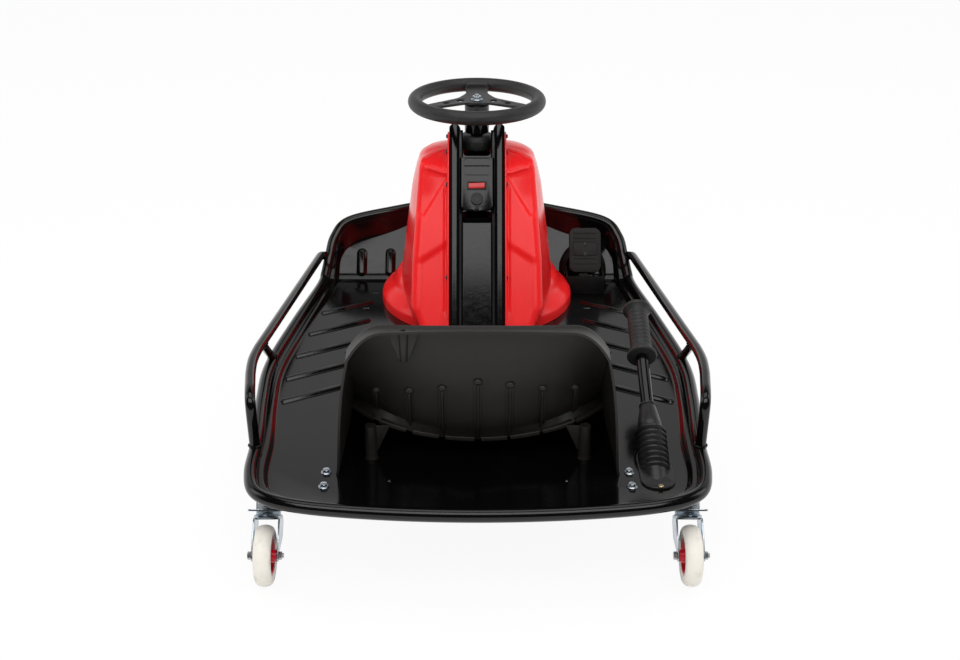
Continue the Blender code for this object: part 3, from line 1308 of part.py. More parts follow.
def make_boot():
    """Ribbed rubber boot lying along the lever, open below over the slot, with a foot flange."""
    turn = Matrix.Translation((LEVER_X, BAR_Y, BAR_Z)) @ Matrix.Rotation(LEVER_ANGLE - math.pi / 2, 4, "X")
    root = BOOT_RIB_R - BOOT_RIB_H
    neck = BOOT_END - BOOT_CONE
    profile = [(0.0, -0.032), (0.012, -0.028), (0.019, -0.012), (root, 0.008)]
    first = 0.030
    for k in range(BOOT_RIBS):
        step = (neck - first) / BOOT_RIBS
        profile += [(root, first + k * step), (BOOT_RIB_R, first + (k + 0.5) * step)]
    tip = LEVER_R + GAP + BOOT_WALL
    profile += [(root, neck), (root, neck + 0.008), (tip + 0.001, BOOT_END - 0.008), (tip, BOOT_END)]
    profile.append((0.0, BOOT_END))
    boot = body("lever_boot", moved(lathe(profile, 16), rotation=turn), "rubber")
    low, high = lever_slot()
    flange_half = (high - low) / 2 + BOOT_LAP
    flange = rounded_box(BOOT_FLANGE_R, flange_half, 0.030, 4, (LEVER_X, (low + high) / 2))
    join(boot, prism(flange, SEAT_Z - 0.002, SEAT_Z + 0.003))
    inner = root - BOOT_WALL
    bore = LEVER_R + GAP
    hollow = ((0.0, -0.026), (0.010, -0.023), (0.016, -0.010), (inner, 0.010), (inner, neck),
              (bore, neck + 0.030), (bore, BOOT_END + 0.01), (0.0, BOOT_END + 0.01))
    cut(boot, moved(lathe(hollow, 16), rotation=turn), under_floor(GAP))


def make_casters(drift_axis):
    """Plate on the drift bar, then the tilted swivel with its fork, axle and wheel."""
    first = {}
    for side in (1, -1):
        word = side_name(side)
        place = (side * CASTER_X, CASTER_SET * COS_T - CASTER_STAND * SIN_T,
                 -CASTER_SET * SIN_T - CASTER_STAND * COS_T)
        tilt = (-CASTER_TILT, 0, 0)
        swivel = joint_empty("caster_swivel_" + word, place, tilt, drift_axis)
        axle = joint_empty("caster_axle_axis_" + word, (0, -CASTER_TRAIL, -CASTER_DROP), parent=swivel)
        if side > 0:
            first["plate"] = caster_plate(drift_axis, place, tilt)
            first["fork"] = caster_fork(swivel)
            first["axle"] = caster_axle(swivel)
            first["tread"], first["hub"] = caster_wheel(axle)
        else:
            twin(first["plate"], "caster_plate_left", "zinc", drift_axis, place, tilt)
            twin(first["fork"], "caster_fork_left", "zinc", swivel)
            twin(first["axle"], "caster_bolt_left", "steel", swivel)
            twin(first["tread"], "caster_tread_left", "white_tread", axle)
            twin(first["hub"], "caster_hub_left", "red_hub", axle)


def caster_plate(parent, place, tilt):
    half = CASTER_PLATE / 2
    plate = body("caster_plate_right", prism(rounded_box(half, half, 0.007, 4), 0.0, CASTER_PLATE_T),
                 "zinc", parent, place, tilt)
    saddle = [(-0.028, CASTER_PLATE_T - 0.001), (0.012, CASTER_PLATE_T - 0.001),
              (BAR_R - CASTER_SET, CASTER_STAND), (-BAR_R - CASTER_SET, CASTER_STAND)]
    join(plate, prism(saddle, -0.016, 0.016, "X"))
    cut(plate, lathe(((BAR_R + GAP, -0.03), (BAR_R + GAP, 0.03)), 32, "X",
                            centre=(0, -CASTER_SET, CASTER_STAND)))
    cut(plate, prism(circle(0.0056, 14), -0.01, CASTER_PLATE_T + 0.004))
    return plate


def caster_fork(swivel):
    """Raceway, crown sheet and two legs that narrow and trail to the axle."""
    crown_top = -GAP - CASTER_RACE_H
    race = ((0.0, crown_top - CASTER_SHEET), (CASTER_RACE_R - 0.002, crown_top - CASTER_SHEET),
            (CASTER_RACE_R, crown_top - 0.0005), (CASTER_RACE_R, crown_top + 0.004),
            (CASTER_RACE_R - 0.004, -GAP), (0.0, -GAP))
    fork = body("caster_fork_right", lathe(race, 16), "zinc", swivel)
    half = CASTER_FORK_HALF
    crown = rounded_box(half, 0.024, 0.008, 2, (0, -0.002))
    join(fork, prism(crown, crown_top - CASTER_SHEET, crown_top))
    leg = [(-0.025, crown_top - 0.006), (-0.022, crown_top), (0.018, crown_top), (0.021, crown_top - 0.006),
           (0.014, -0.042)]
    for k in range(5):
        angle = math.radians(30) - math.pi * k / 4
        leg.append((-CASTER_TRAIL + 0.0095 * math.cos(angle), -CASTER_DROP + 0.0095 * math.sin(angle)))
    leg.append((-0.033, -0.040))
    for side in (1, -1):
        low, high = sorted((side * (half - CASTER_SHEET), side * half))
        join(fork, prism(leg, low, high, "X"))
        cut(fork, prism(circle(CASTER_AXLE_R + GAP, 10, (-CASTER_TRAIL, -CASTER_DROP)),
                               low - 0.004, high + 0.004, "X"))
    pin = ((0.0, crown_top), (0.0052, crown_top), (0.0052, CASTER_PLATE_T + 0.0008), (0.0, CASTER_PLATE_T + 0.002))
    join(fork, lathe(pin, 10))
    return fork


def caster_axle(swivel):
    face = CASTER_FORK_HALF + GAP
    profile = [(0.0, -face - 0.0065), (0.0052, -face - 0.0065), (0.0068, -face - 0.005), (0.0068, -face),
               (CASTER_AXLE_R, -face), (CASTER_AXLE_R, face), (0.0068, face), (0.0068, face + 0.0055),
               (CASTER_AXLE_R, face + 0.0055), (CASTER_AXLE_R, face + 0.008), (0.0, face + 0.008)]
    return body("caster_bolt_right", lathe(profile, 10, "X", centre=(0, -CASTER_TRAIL, -CASTER_DROP)),
                "steel", swivel)


def caster_wheel(axle):
    half = CASTER_WHEEL_W / 2
    tread = [(CASTER_HUB_R + GAP, half * 0.86)]
    for k in range(7):
        angle = math.pi * k / 6
        tread.append((CASTER_HUB_R + 0.006 + (CASTER_WHEEL_R - CASTER_HUB_R - 0.006) * math.sin(angle) ** 0.72,
                      half * math.cos(angle)))
    tread.append((CASTER_HUB_R + GAP, -half * 0.86))
    lowest = 24 * (0.75 + CASTER_TILT / (2 * math.pi)) % 1
    tyre = body("caster_tread_right", lathe(tread, 24, "X", ring=True, phase=lowest), "white_tread", axle)
    reach = CASTER_FORK_HALF - CASTER_SHEET - GAP
    bore = CASTER_AXLE_R + GAP
    hub = ((CASTER_HUB_R, half * 0.84), (CASTER_HUB_R - 0.003, half * 0.84), (CASTER_HUB_R - 0.006, half * 0.40),
           (0.0125, half * 0.50), (0.0095, reach), (bore, reach))
    profile = hub + tuple((r, -x) for r, x in reversed(hub))
    disc = body("caster_hub_right", lathe(profile, 16, "X", ring=True), "red_hub", axle)
    return tyre, disc


# Pedal
def make_pedal():
    pivot_z = FLOOR_Z + PEDAL_RISE
    half = EAR_GAP / 2
    base = rounded_box(half + 0.016, 0.020, 0.004, 3, (PEDAL_X, PEDAL_Y))
    bracket = body("pedal_bracket", prism(base, SEAT_Z, SEAT_Z + EAR_T), "black_paint")
    ear = [(PEDAL_Y - 0.013, SEAT_Z + 0.001), (PEDAL_Y + 0.013, SEAT_Z + 0.001)]
    for k in range(7):
        angle = math.pi * k / 6
        ear.append((PEDAL_Y + 0.007 * math.cos(angle), pivot_z + 0.007 * math.sin(angle)))
    for side in (1, -1):
        low, high = sorted((PEDAL_X + side * half, PEDAL_X + side * (half + EAR_T)))
        join(bracket, prism(ear, low, high, "X"))
    span = half + EAR_T + 0.0025
    join(bracket, prism(circle(PIN_R, 12, (PEDAL_Y, pivot_z)), PEDAL_X - span, PEDAL_X + span, "X"))

    axis = joint_empty("pedal_axis", (PEDAL_X, PEDAL_Y, pivot_z))
    pad_place = Matrix.Rotation(PAD_SLOPE, 4, "X")
    outline = rounded_box(PAD_W / 2, PAD_LENGTH / 2, 0.014, 4, (0, 0.010 + PAD_LENGTH / 2))
    slab = moved(prism(outline, 0.010, 0.010 + PAD_T), rotation=pad_place)
    pad = body("pedal_pad", slab, "rubber", axis)
    barrel = half - RUN - 0.006
    join(pad, lathe(((0.0, -barrel), (0.0072, -barrel), (0.0072, barrel), (0.0, barrel)), 20, "X",
                          centre=(-0.003, 0, 0)))
    arm = rounded_box(0.009, 0.022, 0.002, 2, (-0.003, 0.020))
    join(pad, moved(prism(arm, -0.003, 0.012), rotation=pad_place))
    cut(pad, lathe(((PIN_R + GAP, -0.04), (PIN_R + GAP, 0.04)), 20, "X"))
    start = PEDAL_X - 0.003 + barrel + GAP
    end = PEDAL_X + half - GAP
    body("pedal_spring", tube_ring(0.0062, PIN_R + GAP, start, end, 18, "X", (0, PEDAL_Y, pivot_z)), "steel")
    make_pedal_housing()


def arch_ring(half, height, y, lean):
    """Arch-shaped ring standing on the floor, leaning forward with its height."""
    points = [(-half, 0.0)]
    for k in range(13):
        angle = math.pi - math.pi * k / 12
        points.append((half * math.cos(angle), height - half * 0.9 + half * 0.9 * math.sin(angle)))
    points.append((half, 0.0))
    return [(PEDAL_X + x, y + z * lean, FLOOR_Z - 0.030 + (z / height) * (height + 0.030)) for x, z in points]


def make_pedal_housing():
    """Moulded hood that flares from behind the pad forward to the toe board."""
    start = PEDAL_Y + HOUSING_BACK
    lean = HOUSING_LEAN
    w = HOUSING_WALL
    rear_half, rear_top = HOUSING_REAR
    front_half, front_top = HOUSING_FRONT
    hood = body("pedal_housing", loft([arch_ring(rear_half, rear_top, start, lean),
                                       arch_ring(front_half, front_top, start + HOUSING_DEPTH, lean)]),
                "black_plastic")
    hollow = loft([arch_ring(rear_half - w, rear_top - w, start - 0.004, lean),
                   arch_ring(front_half - w, front_top - w, start + HOUSING_DEPTH - 2 * w, lean)])
    cut(hood, hollow)
    path = frame_outline(FRAME_STATIONS)
    reach = TUBE_R + LIP_W + STEP_W + 3 * GAP
    inside = [inward(path, k, reach) for k in range(len(path))]
    combine(hood, prism([(p.x, p.y) for p in inside], 0.10, 0.40), "INTERSECT")
    cut(hood, under_floor(GAP))


def main():
    for thing in list(bpy.data.objects):
        bpy.data.objects.remove(thing, do_unlink=True)
    make_frame_tube()
    make_floor_pan()
    make_side_rails()
    make_spine()
    make_head_tube()
    make_bearings()
    make_switch_panel()
    make_switch_and_port()
    make_shroud()
    seat = make_seat()
    make_seat_posts(seat)
    make_electrics()
    steer = joint_empty("steering_axis", (0, STEER_Y, 0))
    sprocket_low = make_drive_wheel(steer)
    make_fork_and_drive(steer, sprocket_low)
    make_steering(steer)
    drift_axis = make_drift_bar()
    make_drift_brackets()
    make_boot()
    make_casters(drift_axis)
    make_pedal()


main()
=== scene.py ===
"""Electric drift kart: the finished look, built round the packed solids.

Every length is in metres. X is to the driver's right, +Y is forward, Z is up.
"""

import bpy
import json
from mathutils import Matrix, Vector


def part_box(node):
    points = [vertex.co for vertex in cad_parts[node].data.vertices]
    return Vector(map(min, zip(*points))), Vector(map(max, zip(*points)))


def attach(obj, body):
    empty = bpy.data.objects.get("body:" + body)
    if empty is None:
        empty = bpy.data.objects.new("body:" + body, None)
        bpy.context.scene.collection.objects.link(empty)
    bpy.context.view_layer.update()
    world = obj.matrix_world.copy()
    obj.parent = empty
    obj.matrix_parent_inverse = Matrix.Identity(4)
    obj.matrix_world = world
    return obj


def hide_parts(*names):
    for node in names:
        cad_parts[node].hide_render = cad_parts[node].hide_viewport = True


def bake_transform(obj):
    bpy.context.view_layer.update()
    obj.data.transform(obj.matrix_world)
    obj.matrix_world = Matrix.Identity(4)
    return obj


bl_info = {
    "name": "Electric drift kart",
    "version": (1, 0, 0),
    "blender": (4, 5, 0),
    "location": "3D View > Sidebar > Kart",
    "description": "Builds the visible pieces of the drift kart, one group of pieces at a time",
    "category": "Object",
}

import json
import math

import bmesh
import bpy
from mathutils import Matrix, Vector

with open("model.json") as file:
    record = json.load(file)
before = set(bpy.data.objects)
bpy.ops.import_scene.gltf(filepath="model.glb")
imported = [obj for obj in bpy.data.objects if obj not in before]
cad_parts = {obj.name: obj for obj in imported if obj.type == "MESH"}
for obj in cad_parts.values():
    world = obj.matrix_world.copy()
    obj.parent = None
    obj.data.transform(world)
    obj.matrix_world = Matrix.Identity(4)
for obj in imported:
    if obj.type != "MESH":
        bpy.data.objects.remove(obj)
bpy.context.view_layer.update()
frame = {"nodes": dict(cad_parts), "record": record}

# Sizes shared by several pieces
GAP = 0.0003
RUN = 0.0010
FRAME_LENGTH = 1.070
FRAME_HALF = 0.384
FRONT_Y = FRAME_LENGTH / 2
REAR_Y = -FRAME_LENGTH / 2
STEER_Y = 0.320
BAR_Y = -0.415
SEAT_REAR_Y = -0.400
SEAT_FRONT_Y = 0.015
TOE_Y = 0.408
TOE_SLOPE = 1.19
TOE_TOP_Z = 0.118
TUBE_R = 0.011
PAN_T = 0.002
LIP_W = 0.009
STEP_W = 0.009
RIM_NARROWING = 0.6

CASTER_X = 0.338
CASTER_TILT = math.radians(32.0)
CASTER_WHEEL_R = 0.049
CASTER_WHEEL_W = 0.028
CASTER_DROP = 0.070
CASTER_TRAIL = 0.030
CASTER_STAND = 0.0358
CASTER_SET = 0.0135
CASTER_HUB_R = 0.0315
CASTER_FORK_HALF = 0.0215
CASTER_SHEET = 0.0025
CASTER_PLATE_HALF = 0.030
CASTER_PLATE_T = 0.003
CASTER_RACE_R = 0.0235
CASTER_RACE_H = 0.0105
CASTER_EYE_R = 0.0095
BAR_R = 0.0125
SIN_T = math.sin(CASTER_TILT)
COS_T = math.cos(CASTER_TILT)
BAR_Z = CASTER_WHEEL_R + (CASTER_DROP + CASTER_STAND) * COS_T - (CASTER_TRAIL - CASTER_SET) * SIN_T
FLOOR_Z = BAR_Z + BAR_R + 0.0025 + PAN_T
TUBE_Z = FLOOR_Z + 0.008
SEAT_Z = FLOOR_Z + GAP

LEVER_X = 0.288
LEVER_ANGLE = math.radians(22.0)
LEVER_R = 0.011
LEVER_LENGTH = 0.400
BRACKET_X = 0.245
BOLT_REACH = 0.0219
SIDES = ((1, "right"), (-1, "left"))

SPINE_HALF = 0.054
SPINE_SLOPE = math.radians(60.0)
SPINE_SHEET = 0.0025
RIDGE_W = 0.023
RIDGE_H = 0.009
FLANGE_DEPTH = 0.072
SPINE_EAR_Z = 0.528
PANEL_T = 0.006
SWITCH_DOWN = 0.056
PORT_DOWN = 0.083
PORT_R = 0.0120
PORT_BODY_R = 0.0082
PORT_FLANGE_T = 0.0015
PORT_HINGE_DOWN = PORT_DOWN + PORT_R + 0.007

SPINE_REF_Y = 0.270          # rear face of the ridges at SPINE_REF_Z
SPINE_REF_Z = 0.500
SPINE_NOTCH_Z = 0.474        # foot of the notch between the ears
PANEL_TOP_Z = 0.471
WINDOW_HALF = (0.0165, 0.0063)

TYRE_R = 0.150
WELL_R = 0.168               # room for the drive wheel in pan and spine
HEAD_Z = 0.470               # top of the head tube
COLUMN_FOOT_Z = 0.335
COLUMN_R = 0.0125
STEERING_Z = 0.565
STEERING_R = 0.1215
STEERING_GRIP_R = 0.0135
DOME_R = 0.195
PEDAL_X = 0.227
PEDAL_Y = 0.365
PEDAL_Z = FLOOR_Z + 0.023


# Shader maths
class Wire:
    """A value inside a finish. Arithmetic written on it adds the nodes that work it out."""

    def __init__(self, finish, socket):
        self.finish = finish
        self.socket = socket

    def _maths(self, operation, *values):
        return self.finish.node("ShaderNodeMath", {"operation": operation}, dict(enumerate(values)))

    def __add__(self, other):
        return self._maths("ADD", self, other)

    __radd__ = __add__

    def __sub__(self, other):
        return self._maths("SUBTRACT", self, other)

    def __rsub__(self, other):
        return self._maths("SUBTRACT", other, self)

    def __mul__(self, other):
        return self._maths("MULTIPLY", self, other)

    __rmul__ = __mul__

    def sine(self):
        return self._maths("SINE", self)

    def largest(self, other):
        return self._maths("MAXIMUM", self, other)

    def between(self, low, high):
        """Runs from 0 at low to 1 at high, with soft ends."""
        return self.finish.node("ShaderNodeMapRange", {"interpolation_type": "SMOOTHSTEP"},
                                {"Value": self, "From Min": low, "From Max": high})


class Nodes:
    """A node tree that is filled through node()."""

    def __init__(self, tree):
        self.tree = tree

    def node(self, kind, settings=None, sockets=None, out=0):
        """Adds a node: its settings first, then the values or links of its sockets."""
        made = self.tree.nodes.new(kind)
        for key, value in (settings or {}).items():
            if key == "stops":
                ramp = made.color_ramp
                while len(ramp.elements) < len(value):
                    ramp.elements.new(0.5)
                for stop, (at, colour) in zip(ramp.elements, value):
                    stop.position = at
                    stop.color = colour
            else:
                setattr(made, key, value)
        for key, value in (sockets or {}).items():
            if isinstance(value, Wire):
                self.tree.links.new(value.socket, made.inputs[key])
            else:
                made.inputs[key].default_value = value
        return Wire(self, made.outputs[out])


class Finish(Nodes):
    """One surface finish: a Principled material whose nodes are added through node()."""

    def __init__(self, name, colour, roughness, metallic=0.0, **fixed):
        self.material = bpy.data.materials.new(name)
        self.material.use_nodes = True
        self.material.diffuse_color = (*colour, 1.0)
        super().__init__(self.material.node_tree)
        self.shader = self.tree.nodes["Principled BSDF"]
        self.set("Base Color", (*colour, 1.0))
        self.set("Roughness", roughness)
        self.set("Metallic", metallic)
        for socket, value in fixed.items():
            self.set(socket.replace("_", " ").title().replace("Ior", "IOR"), value)
        self.place = self.node("ShaderNodeTexCoord", out="Object")

    def set(self, socket, value):
        """Gives one of the shader's own sockets a fixed value or a link."""
        if isinstance(value, Wire):
            self.tree.links.new(value.socket, self.shader.inputs[socket])
        else:
            self.shader.inputs[socket].default_value = value

    def noise(self, scale, detail=2.0, roughness=0.5, stretch=None):
        """Cloudy pattern between 0 and 1; scale is in turns per metre."""
        place = self.place
        if stretch:
            place = self.node("ShaderNodeVectorMath", {"operation": "MULTIPLY"}, {0: place, 1: stretch})
        return self.node("ShaderNodeTexNoise", None,
                         {"Vector": place, "Scale": scale, "Detail": detail, "Roughness": roughness})

    def cells(self, scale):
        """Distance to the nearest of many scattered points."""
        return self.node("ShaderNodeTexVoronoi", {"feature": "F1"}, {"Vector": self.place, "Scale": scale})

    def axis(self, name):
        return self.node("ShaderNodeSeparateXYZ", None, {"Vector": self.place}, out=name)

    def mixed(self, mask, first, second):
        """First colour where the mask is 0, second where it is 1."""
        return self.node("ShaderNodeMix", {"data_type": "RGBA"},
                         {0: mask, 6: (*first, 1.0), 7: (*second, 1.0)}, out=2)

    def relief(self, height, distance, strength=1.0):
        """Bump from a height pattern; distance is how deep it is in metres."""
        self.set("Normal", self.node("ShaderNodeBump", None,
                                     {"Height": height, "Distance": distance, "Strength": strength}))


def enamel(name, colour, dust, roughness, scale=380.0):
    """Sprayed gloss enamel: orange peel, faint dust and fine wiping marks."""
    skin = Finish(name, colour, roughness, ior=1.47)
    cloud = skin.noise(9.0, 3.0)
    wiped = skin.noise(60.0, 4.0, stretch=(1.0, 5.0, 1.0))
    skin.set("Base Color", skin.mixed(cloud.between(0.45, 0.80), colour, dust))
    skin.set("Roughness", wiped.between(0.35, 0.85) * 0.07 + roughness)
    skin.relief(skin.noise(scale, 2.0), 0.00012, 0.35)
    return skin.material


def moulding(name, colour, worn, roughness, grain=900.0, depth=0.00012, ior=1.46):
    """Moulded plastic with a fine spark-eroded grain and slightly paler rubbed places."""
    skin = Finish(name, colour, roughness, ior=ior)
    rubbed = skin.noise(14.0, 5.0, 0.6)
    skin.set("Base Color", skin.mixed(rubbed.between(0.42, 0.75), colour, worn))
    skin.set("Roughness", rubbed.between(0.3, 0.8) * 0.10 + roughness)
    skin.relief(skin.cells(grain) + skin.noise(grain * 0.5, 3.0) * 0.8, depth, 0.5)
    return skin.material


def gloss_shell(name, colour, deep, roughness):
    """Glossy coloured moulding: clear skin, slight flow marks and a fine orange peel."""
    skin = Finish(name, colour, roughness, ior=1.36)
    flow = skin.noise(7.0, 3.0)
    skin.set("Base Color", skin.mixed(flow.between(0.30, 0.75), colour, deep))
    skin.set("Roughness", skin.noise(45.0, 4.0).between(0.3, 0.9) * 0.06 + roughness)
    skin.relief(skin.noise(210.0, 2.0), 0.00010, 0.25)
    return skin.material


RUBBER_GRAIN = 1400.0


def rubber(name, colour, dusty, roughness, ior=1.45):
    """Soft rubber or foam: matt, finely pitted, with a pale bloom."""
    skin = Finish(name, colour, roughness, ior=ior)
    bloom = skin.noise(22.0, 5.0, 0.65)
    skin.set("Base Color", skin.mixed(bloom.between(0.40, 0.85), colour, dusty))
    skin.set("Roughness", bloom.between(0.3, 0.8) * 0.12 + roughness)
    skin.relief(skin.cells(RUBBER_GRAIN) + skin.noise(RUBBER_GRAIN * 0.3, 3.0), 0.00015, 0.5)
    return skin.material


def plated(name, colour, tint, roughness, brushed=(1.0, 1.0, 1.0)):
    """Plated or bare metal: bright, with a faint colour drift and fine drawing lines."""
    skin = Finish(name, colour, roughness, 1.0)
    drift = skin.noise(38.0, 3.0)
    lines = skin.noise(520.0, 4.0, 0.6, stretch=brushed)
    skin.set("Base Color", skin.mixed(drift.between(0.35, 0.75), colour, tint))
    skin.set("Roughness", lines.between(0.2, 0.9) * 0.12 + roughness)
    skin.relief(lines, 0.00005, 0.4)
    return skin.material


def tyre_skin(name, colour, worn):
    """Pneumatic tyre: matt rubber with fine ribs round the tread."""
    skin = Finish(name, colour, 0.72)
    x = skin.axis("X")
    ribs = (x * 1400.0).sine().between(-0.3, 0.3)
    dusty = skin.noise(30.0, 5.0, 0.6)
    skin.set("Base Color", skin.mixed(dusty.between(0.40, 0.80), colour, worn))
    skin.set("Roughness", dusty * 0.15 + 0.68)
    skin.relief(ribs + skin.cells(900.0) * 0.2, 0.0005, 0.7)
    return skin.material


def tread_skin(name, colour, soiled):
    """Hard white caster tread, faintly yellowed, with scuffs where it rolls."""
    skin = Finish(name, colour, 0.42, ior=1.48)
    stain = skin.noise(70.0, 5.0, 0.65)
    skin.set("Base Color", skin.mixed(stain.between(0.50, 0.85), colour, soiled))
    skin.set("Roughness", stain.between(0.3, 0.8) * 0.18 + 0.36)
    skin.relief(skin.noise(600.0, 3.0), 0.00008, 0.4)
    return skin.material


def lens(name, colour):
    """Translucent coloured rocker with a slight haze in it."""
    skin = Finish(name, colour, 0.16, ior=1.49, transmission_weight=0.25)
    haze = skin.noise(400.0, 2.0)
    skin.set("Base Color", skin.mixed(haze, colour, tuple(min(1.0, c * 1.25 + 0.02) for c in colour)))
    skin.set("Roughness", haze * 0.08 + 0.12)
    skin.relief(haze, 0.00005, 0.3)
    return skin.material


# Outlines and paths
BEND_STEPS = 10              # facets of a tube's bend


def smooth(t):
    """Eased step from 0 to 1, level at both ends."""
    t = max(0.0, min(1.0, t))
    return t * t * (3 - 2 * t)


def circle(radius, sides, centre=(0.0, 0.0)):
    """Points round a circle."""
    return [(centre[0] + radius * math.cos(2 * math.pi * k / sides),
             centre[1] + radius * math.sin(2 * math.pi * k / sides)) for k in range(sides)]


def rounded_box(half_x, half_y, radius, steps=6, centre=(0.0, 0.0)):
    """Outline of a rectangle with round corners."""
    points = []
    for corner, (sx, sy) in enumerate(((1, 1), (-1, 1), (-1, -1), (1, -1))):
        for k in range(steps + 1):
            angle = math.pi / 2 * (corner + k / steps)
            points.append((centre[0] + sx * (half_x - radius) + radius * math.cos(angle),
                           centre[1] + sy * (half_y - radius) + radius * math.sin(angle)))
    return points


def filleted(points, radius, steps=4, closed=True):
    """The same outline with each corner rounded, as far as its sides allow."""
    points = [Vector(p) for p in points]
    total = len(points)
    rounded = []
    for k, corner in enumerate(points):
        if not closed and k in (0, total - 1):
            rounded.append(corner)
            continue
        before = points[k - 1] - corner
        after = points[(k + 1) % total] - corner
        reach = min(radius, before.length * 0.45, after.length * 0.45)
        if reach < 1e-6 or before.angle(after) > math.radians(176):
            rounded.append(corner)
            continue
        start = corner + before.normalized() * reach
        end = corner + after.normalized() * reach
        for n in range(steps + 1):
            t = n / steps
            rounded.append(start * (1 - t) ** 2 + corner * 2 * t * (1 - t) + end * t ** 2)
    return [tuple(p) for p in rounded]


def spline(points, count, closed=False):
    """Smooth curve through the given points."""
    points = [Vector(p) for p in points]
    total = len(points)
    spans = total if closed else total - 1
    samples = []
    for n in range(count):
        t = n * spans / (count if closed else count - 1)
        k = min(int(t), spans - 1)
        f = t - k
        if closed:
            p0, p1, p2, p3 = (points[(k + d) % total] for d in (-1, 0, 1, 2))
        else:
            p1 = points[k]
            p2 = points[k + 1]
            p0 = points[k - 1] if k > 0 else p1 * 2 - p2
            p3 = points[k + 2] if k + 2 < total else p2 * 2 - p1
        samples.append(0.5 * (2 * p1 + (p2 - p0) * f + (2 * p0 - 5 * p1 + 4 * p2 - p3) * f ** 2
                              + (3 * p1 - p0 - 3 * p2 + p3) * f ** 3))
    return samples


def bent(points, radius):
    """Straight runs joined by arcs, as a tube bender leaves them."""
    points = [Vector(p) for p in points]
    path = [points[0]]
    for before, corner, after in zip(points, points[1:], points[2:]):
        u = (before - corner).normalized()
        v = (after - corner).normalized()
        half = u.angle(v) / 2
        centre = corner + (u + v).normalized() * radius / math.sin(half)
        start = corner + u * radius / math.tan(half) - centre
        end = corner + v * radius / math.tan(half) - centre
        for k in range(BEND_STEPS + 1):
            path.append(centre + start.slerp(end, k / BEND_STEPS) * radius)
    path.append(points[-1])
    return path


def evened(path, step, rounds):
    """The path in short even steps, with its bends relaxed a little."""
    points = [path[0]]
    for a, b in zip(path, path[1:]):
        parts = max(1, int((b - a).length / step))
        points += [a.lerp(b, (k + 1) / parts) for k in range(parts)]
    for _ in range(rounds):
        points = [points[0]] + [(a + b * 2 + c) / 4 for a, b, c in zip(points, points[1:], points[2:])] + [points[-1]]
    return points


# Meshes
SOFT_STEPS = 3               # facets of an outline's rounded rim


def loft(rings, wrap=False):
    """Skin between rings of equal count."""
    bm = bmesh.new()
    rows = [[bm.verts.new(p) for p in ring] for ring in rings]
    count = len(rows[0])
    pairs = list(zip(rows, rows[1:]))
    if wrap:
        pairs.append((rows[-1], rows[0]))
    for low, high in pairs:
        for k in range(count):
            n = (k + 1) % count
            bm.faces.new((low[k], low[n], high[n], high[k]))
    if not wrap:
        bm.faces.new(list(reversed(rows[0])))
        bm.faces.new(rows[-1])
    bmesh.ops.recalc_face_normals(bm, faces=bm.faces)
    return bm


def prism(outline, low, high, axis="Z", soft=0.0):
    """Outline extruded along an axis; soft rounds both of its rims inward."""
    def place(a, b, c):
        return {"Z": (a, b, c), "X": (c, a, b), "Y": (a, c, b)}[axis]
    if not soft:
        return loft([[place(a, b, low) for a, b in outline], [place(a, b, high) for a, b in outline]])
    centre = Vector((sum(p[0] for p in outline), sum(p[1] for p in outline))) / len(outline)
    flat = [Vector(p) for p in outline]
    area = sum(a.cross(b) for a, b in zip(flat, flat[1:] + flat[:1]))
    turn = 1 if area > 0 else -1
    shrink = []
    for k, point in enumerate(flat):
        along = flat[(k + 1) % len(flat)] - flat[k - 1]
        inward_way = Vector((-along.y, along.x)).normalized() * turn
        shrink.append(inward_way if along.length > 1e-9 else (centre - point).normalized())
    rings = []
    for n in range(SOFT_STEPS + 1):
        angle = math.pi / 2 * n / SOFT_STEPS
        rings.append((soft * (1 - math.sin(angle)), low + soft * (1 - math.cos(angle))))
    rings += [(inset, low + high - z) for inset, z in reversed(rings)]
    return loft([[place(*(p + w * inset), z) for p, w in zip(flat, shrink)] for inset, z in rings])


def lathe(profile, sides=48, axis="Z", centre=(0.0, 0.0, 0.0), ring=False, soft=0.0):
    """Turned body from (radius, height) points; soft rounds the profile's corners."""
    if soft:
        profile = filleted(profile, soft, 3, closed=ring)
    bm = bmesh.new()
    rows = []
    for radius, height in profile:
        row = []
        for a, b in ([(0.0, 0.0)] if radius < 1e-7 else circle(radius, sides)):
            point = {"Z": (a, b, height), "X": (height, a, b), "Y": (b, height, a)}[axis]
            row.append(bm.verts.new(Vector(point) + Vector(centre)))
        rows.append(row)
    pairs = list(zip(rows, rows[1:]))
    if ring:
        pairs.append((rows[-1], rows[0]))
    for low, high in pairs:
        for k in range(sides):
            n = (k + 1) % sides
            corners = (low[k % len(low)], low[n % len(low)], high[n % len(high)], high[k % len(high)])
            corners = list(dict.fromkeys(corners))
            if len(corners) > 2:
                bm.faces.new(corners)
    if not ring:
        for row in (rows[0], rows[-1]):
            if len(row) > 1:
                bm.faces.new(row)
    bmesh.ops.recalc_face_normals(bm, faces=bm.faces)
    return bm


def sweep(path, section, closed=False, up=None, sizes=None):
    """Section carried square along a path, scaled by sizes at each station."""
    path = [Vector(p) for p in path]
    count = len(path)
    rings = []
    side = None
    for k, point in enumerate(path):
        if closed:
            tangent = path[(k + 1) % count] - path[k - 1]
        else:
            tangent = path[min(k + 1, count - 1)] - path[max(k - 1, 0)]
        tangent.normalize()
        if up is not None:
            side = tangent.cross(Vector(up)).normalized()
        elif side is None:
            side = tangent.orthogonal().normalized()
        else:
            side = (side - tangent * side.dot(tangent)).normalized()
        over = side.cross(tangent)
        size = sizes[k] if sizes else 1.0
        rings.append([point + side * a * size + over * b * size for a, b in section])
    return loft(rings, wrap=closed)


